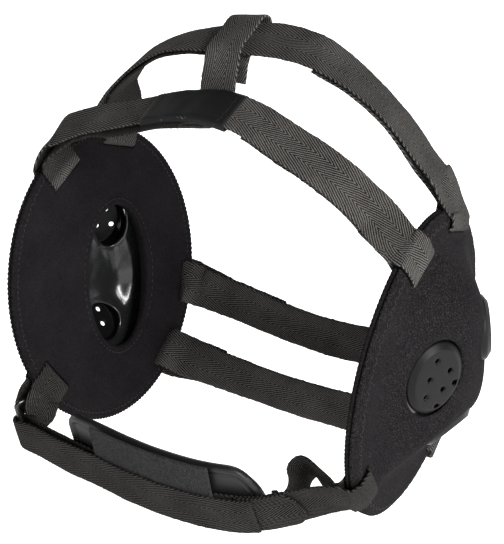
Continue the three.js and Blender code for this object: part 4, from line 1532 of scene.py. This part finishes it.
HALF_WEB = WEB_WIDTH / 2
front = strap_frame(front_main, CROSS_WAY)
rear = strap_frame(rear_main, CROSS_WAY)
below = -(2 * LAYER_STEP + LABEL_THICKNESS + CLEARANCE + CROSS_SLACK)
over = LAYER_STEP + CROSS_SLACK
crest, turned = rear(-HALF_WEB, over), rear(-HALF_WEB * 0.9, -over)
begin = front(HALF_WEB, below)
middle = {"wide": crest["wide"], "at": begin["at"].lerp(crest["at"], 0.5)}
to_front = (begin["at"] - crest["at"]).normalized()
finish_spot = {"wide": crest["wide"], "at": turned["at"] + to_front * WEB_WIDTH * 0.55}
cross_stations = [front(-HALF_WEB * 0.8, below), front(0, below), begin, middle, crest,
                  rear(0, over), rear(HALF_WEB, over), rear(HALF_WEB + over * 0.8, over * 0.6),
                  rear(HALF_WEB + over, 0), rear(HALF_WEB + over * 0.8, -over * 0.6),
                  rear(HALF_WEB, -over), rear(0, -over), turned, finish_spot]
strap("crown_tie", cross_stations, tie_cloth, "cross_strap", uneven=0.25)


# %% Label sleeve
def sleeve(name, stations, width, height, wall, finish, node, slot):
    """A closed tube of cloth round a flat stack."""
    piece = Piece(name)
    path = squared(smooth(stations, 1.2))
    rings = []
    for grow in (0, -wall):
        section = tape_section(width / 2 + wall + grow, height / 2 + wall + grow, 15)
        for spot in path:
            pucker = noise.noise(Vector((spot["far"] * 0.09, 2, 0))) * 0.25
            for w, t in section:
                crease = noise.noise(Vector((spot["far"] * 0.16, w * 0.12, t))) * 0.3
                place = spot["at"] + spot["wide"] * w + spot["normal"] * (t + pucker + crease)
                rings.append((tuple(place), (w, spot["far"], t)))
    size, rows = len(section), len(path)
    faces = []
    for shell, flip in ((0, False), (rows * size, True)):
        for i in range(rows - 1):
            a, b = shell + i * size, shell + (i + 1) * size
            for k in range(size):
                n = (k + 1) % size
                face = (a + k, b + k, b + n, a + n)
                faces.append(face[::-1] if flip else face)
    for row, flip in ((0, False), (rows - 1, True)):
        a, b = row * size, (rows + row) * size
        for k in range(size):
            n = (k + 1) % size
            face = (a + k, a + n, b + n, b + k)
            faces.append(face[::-1] if flip else face)
    piece.add([r[0] for r in rings], faces, finish, [r[1] for r in rings])
    for row in (3, -4):
        tack(piece, path[row], width - 1, height / 2 + wall, thread_dark, rows=1)
    return piece.make(slot, node)


LABEL_FROM, LABEL_TO = 0.305, 0.565
label_stations = between(layer(front_main, -LAYER_STEP / 2), LABEL_FROM, LABEL_TO)
label_size = (WEB_WIDTH + 2 * CLEARANCE, WEB_THICKNESS + LAYER_STEP + 2 * CLEARANCE)
sleeve("label", label_stations, *label_size, LABEL_THICKNESS, label_satin, "label_sleeve", "label_satin")

# %% [markdown]
# ## Chin strap
#
# The chin strap starts at the left cup, runs under the chin to the ring on the
# right, folds round the ring and comes back outside to its hook tab. Gathered
# webbing is narrower at the ring, which its stations carry as a width.


# %% The two bars of the ring
RING_WIRE, PILE_THICKNESS, PILE_WIDTH = 2.6, 1.5, 39
CHIN_PAD_THICKNESS, CHIN_PAD_HEIGHT, TAB_THICKNESS = 5, 39, 1.5
RING_SLACK, RING_SHIFT = 4.5, 3.4
CHIN_STACK = 2 * CLEARANCE + WEB_THICKNESS + PILE_THICKNESS
BAR_TURN = RING_WIRE / math.sqrt(2) + CLOTH_LIFT + CLEARANCE
RING_GAP = 2 * (BAR_TURN + WEB_THICKNESS / 2 - RING_WIRE / 2) + 4 * CLEARANCE
chin_outer = layer(chin_inner, CHIN_STACK)


def squared_to(vector, wide):
    """The part of a direction that is square to the tape's width."""
    return (vector - wide * vector.dot(wide)).normalized()


ring_wide = chin_inner[0]["wide"].copy()
ring_run = squared_to(chin_inner[1]["at"] - chin_inner[0]["at"], ring_wide)
ring_out = squared_to(chin_outer[0]["at"] - chin_inner[0]["at"], ring_wide)
front_bar = chin_inner[0]["at"].lerp(chin_outer[0]["at"], 0.5) - ring_run * 1.2 * BAR_TURN
chin_centre, _, chin_out, chin_reach = slot_place(SLOTS["chin"])
rim_spot = on_head(-1, 0, *(chin_centre + chin_out * chin_reach))
to_rim = squared_to(rim_spot - front_bar, ring_wide)
rear_bar = front_bar + to_rim * (RING_GAP + RING_WIRE)
print("the ring's bars are", round(RING_GAP + RING_WIRE, 1), "mm apart")


# %% The strap through the ring
def turn_round(bar, first, second, turns, radius, width):
    """Stations of tape going round a bar."""
    result = []
    for turn in turns:
        angle = math.radians(turn)
        at = bar + first * -radius * math.cos(angle) + second * radius * math.sin(angle)
        result.append({"at": at, "wide": ring_wide.copy(), "width": width})
    return result


HALF_TURN = (90, 45, 0, -45, -90)
bar_fold = turn_round(front_bar, ring_run, ring_out, HALF_TURN, BAR_TURN, width=0.84)
chin_end = over_end(chin_inner, 1, "chin", join=1, end=0.8, rounds_rim=True, loop=15)
chin_stations = (between(chin_outer, 0.02, 0.75)[::-1] + bar_fold
                 + between(chin_inner, 0.02, 2) + chin_end)
strap("chin_webbing", chin_stations, chin_cloth, "chin_strap")


# %% [markdown]
# The ring is moulded wire bent to a rounded rectangle. Its path goes through
# the bars that the strap and the loop already turn round, so nothing can cut
# through anything else.


# %% Ring
def ring_path():
    """A rounded rectangle of wire through the two bars."""
    high, deep = (WEB_WIDTH + RING_SLACK) / 2 + RING_WIRE / 2, RING_GAP / 2 + RING_WIRE / 2
    corner = RING_WIRE * 0.75
    middle = front_bar.lerp(rear_bar, 0.5) + ring_wide * RING_SHIFT
    spots = []
    for x, y, start in ((1, 1, 0), (-1, 1, 90), (-1, -1, 180), (1, -1, 270)):
        for turn in range(0, 91, 15):
            angle = math.radians(start + turn)
            a = x * (high - corner) + corner * math.cos(angle)
            b = y * (deep - corner) + corner * math.sin(angle)
            spots.append(middle + ring_wide * a + to_rim * b)
    return spots


def closed_tube(spots, radius, sides=14):
    """A round wire whose ends meet."""
    points, faces = [], []
    count = len(spots)
    flat = ring_wide.cross(to_rim).normalized()
    for i, spot in enumerate(spots):
        run = (spots[(i + 1) % count] - spots[i - 1]).normalized()
        side = run.cross(flat)
        for k in range(sides):
            angle = 2 * math.pi * k / sides
            offset = side * radius * math.cos(angle) + flat * radius * math.sin(angle)
            points.append(tuple(spot + offset))
    for i in range(count):
        a, b = i * sides, (i + 1) % count * sides
        faces += [(a + k, a + (k + 1) % sides, b + (k + 1) % sides, b + k) for k in range(sides)]
    return np.array(points), faces


ring = Piece("strap_ring")
ring.add(*closed_tube(ring_path(), RING_WIRE / 2), ring_gloss)
ring.make("ring_plastic", "chin_ring")

# %% [markdown]
# The ring hangs on a closed loop of webbing that goes through the right cup's
# chin slot and round the ring's rear bar.

# %% Anchor loop
flat = ring_wide.cross(to_rim)
if flat.x > 0:
    flat.negate()
loop_bar = rear_bar + ring_wide * (RING_SHIFT + 2)
loop_turn = turn_round(loop_bar, to_rim, flat, HALF_TURN[::-1], BAR_TURN + CLEARANCE, width=0.7)
anchor = slot_run(-1, "chin")
anchor_stations = (anchor["past_outside"] + anchor["outside"] + anchor["inside"]
                   + anchor["past_inside"] + loop_turn)
piece = Piece("ring_anchor")
points, faces, cloth, path = tape(anchor_stations, closed=True, uneven=0.3, step=1.2)
piece.add(points, faces, chin_cloth, cloth)
fringe(piece, path, chin_cloth, every=1.6, longest=1.8)
piece.make("webbing", "chin_anchor_loop")

# %% [markdown]
# ## Hook tab, loop strip and chin pad
#
# These three are flat patterns wrapped along the chin strap. Wrapping is the
# same idea as sewing: the pattern's length runs along the strap and its width
# across it, so a rounded end stays round on a curved strap.


# %% Wrapping a pattern along a strap
def wrap(sheet, stations):
    """Bends (along, across, height) points onto a strap's path."""
    points, faces, cloth = sheet
    path = squared(smooth(stations, 1.0))
    fars = np.array([spot["far"] for spot in path])
    placed = []
    for along, across, height in points:
        goal = min(max(along + fars[-1] / 2, 0), fars[-1])
        i = min(int(np.searchsorted(fars, goal, "right")) - 1, len(path) - 2)
        share = (goal - fars[i]) / (fars[i + 1] - fars[i])
        a, b = path[i], path[i + 1]
        at = a["at"].lerp(b["at"], share)
        wide = a["wide"].lerp(b["wide"], share)
        normal = a["normal"].lerp(b["normal"], share)
        placed.append(tuple(at + wide * across + normal * height))
    return np.array(placed), faces, cloth[:, [1, 0, 2]]


def outward_sign(stations):
    """1 where the wrapped height points away from the head."""
    path = squared(smooth(stations, 5.0))
    spot = path[len(path) // 2]
    return 1 if spot["normal"].dot(spot["at"]) > 0 else -1


def stadium(length, width, left_round, right_round, step=0.9):
    """A strip whose ends are round: 0 is square and 1 a half circle."""
    loop = []
    for way, share in ((1, right_round), (-1, left_round)):
        radius = max(width / 2 * share, 0.8)
        for corner in (-1, 1):
            centre_x = way * (length / 2 - radius)
            centre_y = way * corner * (width / 2 - radius)
            first = -90 if corner < 0 else 0
            for turn in range(0, 91, 9):
                angle = math.radians(first + turn + (180 if way < 0 else 0))
                loop.append((centre_x + radius * math.cos(angle), centre_y + radius * math.sin(angle)))
    full = []
    for a, b in zip(loop, loop[1:] + loop[:1]):
        span = math.dist(a, b)
        count = max(1, round(span / step))
        full += [(a[0] + (b[0] - a[0]) * k / count, a[1] + (b[1] - a[1]) * k / count)
                 for k in range(count) if span > 1e-3]
    return np.array(full)


def span_of(stations):
    """How long a path is, in mm."""
    return smooth(stations, 1.0)[-1]["far"]


def raised(stations, up):
    """The same stations moved across the tape."""
    return [{**s, "at": s["at"] + s["wide"] * up} for s in stations]


print("the chin strap spans", round(span_of(chin_inner)), "mm between the ring and the cup")

# %% [markdown]
# The loop strip is sewn to the strap's outer face. A displaced sheet gives its
# body, and a few thousand crushed curls break up its outline.

# %% Loop strip
PILE_CURLS, PILE_ROUGH = 2600, 0.22
pile_lift = WEB_THICKNESS / 2 + CLEARANCE + PILE_THICKNESS / 2
pile_line = between(raised(layer(chin_inner, pile_lift), (PILE_WIDTH - WEB_WIDTH) / 2), 0.28, 0.66)
pile_loop = stadium(span_of(pile_line), PILE_WIDTH, left_round=0.05, right_round=0.05)
half_pile = PILE_THICKNESS / 2


def pile_face(along, across):
    return half_pile + noise.noise(Vector((along * 0.9, across * 0.9, 0))) * PILE_ROUGH


pile_sheet = slab(cut((pile_loop, 0.5), [], 1.1), lambda a, b: -half_pile, pile_face)
piece = Piece("pile_strip")
points, faces, cloth = wrap(pile_sheet, pile_line)
piece.add(points, faces, loop_pile, cloth)
pile_path = squared(smooth(pile_line, 1.0))
sign = outward_sign(pile_line)
for _ in range(PILE_CURLS):
    spot = pile_path[chance.randrange(1, len(pile_path) - 1)]
    across = chance.uniform(-0.5, 0.5) * PILE_WIDTH
    root = spot["at"] + spot["wide"] * across + spot["normal"] * sign * half_pile * 0.9
    lean = random_bend()
    points, faces = stray(root, (spot["normal"] * sign + lean * 0.9).normalized(), 0.9, 0.07)
    piece.add(points, faces, loop_pile)
piece.make("loop_pile", "chin_loop_strip")

# %% [markdown]
# The hook tab is stiffer and thinner than the loop strip, with fine ribs along
# it that read as rows of hooks.

# %% Hook tab
RIB_STEP, RIB_HEIGHT = 1.5, 0.13
tab_lift = WEB_THICKNESS / 2 + CLEARANCE + TAB_THICKNESS / 2
tab_line = between(layer(chin_inner, tab_lift), 0.69, 0.87)
tab_loop = stadium(span_of(tab_line), WEB_WIDTH + 1, left_round=0.1, right_round=0.85)
half_tab = TAB_THICKNESS / 2


def ribbed(along, across):
    """Fine ribs that run along the tab."""
    return half_tab + RIB_HEIGHT * math.sin(across * 2 * math.pi / RIB_STEP) - 0.1


tab_cut = cut((tab_loop, 0.55), [], 0.8)
if outward_sign(tab_line) < 0:
    tab_sheet = slab(tab_cut, lambda a, b: -ribbed(a, b), lambda a, b: half_tab)
else:
    tab_sheet = slab(tab_cut, lambda a, b: -half_tab, ribbed)
piece = Piece("hook_tab")
points, faces, cloth = wrap(tab_sheet, tab_line)
piece.add(points, faces, chin_cloth, cloth)
piece.make("webbing", "chin_hook_tab")

# %% [markdown]
# The chin pad is moulded rubber. A bead runs round its rim with a groove inside
# it, and both depend only on how far a point is from the edge, which the
# pattern already knows.

# %% Chin pad
pad_lift = WEB_THICKNESS / 2 + CLEARANCE + CHIN_PAD_THICKNESS / 2
chin_rise = (CHIN_PAD_HEIGHT - WEB_WIDTH) / 2 - 2
chin_line = between(raised(layer(chin_inner, -pad_lift), chin_rise), 0.16, 0.78)
chin_loop = stadium(span_of(chin_line), CHIN_PAD_HEIGHT, left_round=0.45, right_round=0.9)
half_pad = CHIN_PAD_THICKNESS / 2
chin_cut = cut((chin_loop, 1.6), [], 1.2)


def beaded(gap):
    """A bead along the rim and a groove inside it."""
    bead = 0.55 * math.exp(-((gap - 2.2) / 1.1) ** 2)
    groove = -0.9 * math.exp(-((gap - 4.6) / 0.8) ** 2)
    return bead + groove


chin_gap = {tuple(np.round(p, 5)): g for p, g in zip(chin_cut["place"], chin_cut["gap"])}


def chin_face(along, across):
    return half_pad - 0.5 + beaded(chin_gap[tuple(np.round((along, across), 5))])


chin_sheet = slab(chin_cut, lambda a, b: -chin_face(a, b), chin_face)
piece = Piece("chin_cushion")
points, faces, cloth = wrap(chin_sheet, chin_line)
piece.add(points, faces, chin_rubber, cloth)
made = piece.make("chin_rubber", "chin_pad")

# %% [markdown]
# ## Camera, light and floor
#
# The camera stands in front and to the left of the wearer, a little above, and
# a long lens keeps the shape flat. One large lamp lights the cups and gives the
# plastic its highlights, and a weaker one behind picks out the rims. The floor
# and a low wall give off a little light, as a lit paper backdrop does.

# %% Camera
CAMERA_AZIMUTH, CAMERA_HEIGHT, CAMERA_DISTANCE = 36.03, 23.68, 1.15
PHOTO_WIDTH, PHOTO_HEIGHT = 504, 544
PIXELS_PER_MM = 2.028
ORIGIN_PIXEL = (250.09, 316.25)
azimuth, height = math.radians(CAMERA_AZIMUTH), math.radians(CAMERA_HEIGHT)
back_way = Vector((math.sin(azimuth) * math.cos(height), -math.cos(azimuth) * math.cos(height),
                   math.sin(height)))
lens = bpy.data.cameras.new("photo_camera")
camera = bpy.data.objects.new("photo_camera", lens)
bpy.context.collection.objects.link(camera)
camera.location = back_way * CAMERA_DISTANCE
camera.rotation_euler = back_way.to_track_quat("Z", "Y").to_euler()
lens.sensor_width = 36
lens.sensor_fit = "AUTO"
view_width = PHOTO_HEIGHT / PIXELS_PER_MM * MM
lens.lens = lens.sensor_width * CAMERA_DISTANCE / view_width
lens.shift_x = (PHOTO_WIDTH / 2 - ORIGIN_PIXEL[0]) / PHOTO_HEIGHT
lens.shift_y = (ORIGIN_PIXEL[1] - PHOTO_HEIGHT / 2) / PHOTO_HEIGHT
bpy.context.scene.camera = camera
print("lens", round(lens.lens, 1), "mm")


# %% Light
def lamp(name, place, size, power):
    """A square lamp that faces the middle of the guard."""
    light = bpy.data.lights.new(name, "AREA")
    light.size = size
    light.energy = power
    made = bpy.data.objects.new(name, light)
    made.location = place
    made.rotation_euler = Vector(place).to_track_quat("Z", "Y").to_euler()
    bpy.context.collection.objects.link(made)


world = bpy.data.worlds.new("white_room")
world.use_nodes = True
room_light = world.node_tree.nodes["Background"].inputs
room_light["Color"].default_value = (1, 1, 1, 1)
room_light["Strength"].default_value = 0.08
bpy.context.scene.world = world
lamp("key", (1.75, -0.6, 1.0), size=0.8, power=66)
lamp("rim", (-0.6, 1.5, 1.1), size=0.9, power=14)
print("lamps:", len(bpy.data.lights))

# %% Floor
FLOOR_DROP, FLOOR_REACH = 0.16, 6.0
floor_finish = Finish("pale_floor", {"Roughness": 0.9, "Specular IOR Level": 0.1,
                                     "Emission Color": (1, 1, 1, 1), "Emission Strength": 0.85})
speck = floor_finish.grain(floor_finish.place(), 40.0)
floor_finish.feed(floor_finish.shader, {
    "Base Color": floor_finish.mix(speck, (0.93, 0.93, 0.93, 1), (0.97, 0.97, 0.97, 1))})
floor_height = cad_box[0][2] - FLOOR_DROP


def stage_piece(name, points, faces):
    """A piece of the studio, which isn't part of the guard."""
    mesh = bpy.data.meshes.new(name)
    mesh.from_pydata(points, [], faces)
    mesh.materials.append(floor_finish.material)
    made = bpy.data.objects.new(name, mesh)
    bpy.context.collection.objects.link(made)


floor_corners = [(x * FLOOR_REACH, y * FLOOR_REACH, floor_height)
                 for x, y in ((-1, -1), (1, -1), (1, 1), (-1, 1))]
stage_piece("floor", floor_corners, [(0, 1, 2, 3)])
print("floor at", round(floor_height, 3), "m")

# %% A low pale wall all round, so that the view is pale from any side
WALL_RADIUS, WALL_HEIGHT, WALL_PANELS = 5.5, 1.7, 48
corners = []
for i in range(WALL_PANELS):
    turn = 2 * math.pi * i / WALL_PANELS
    x, y = WALL_RADIUS * math.cos(turn), WALL_RADIUS * math.sin(turn)
    corners += [(x, y, floor_height), (x, y, floor_height + WALL_HEIGHT)]
panels = [(2 * i, 2 * i + 1, (2 * i + 3) % len(corners), (2 * i + 2) % len(corners))
          for i in range(WALL_PANELS)]
stage_piece("backdrop", corners, panels)
bpy.context.scene.view_settings.view_transform = "Standard"
print("the wall has", len(panels), "panels")

# %% [markdown]
# ## The end
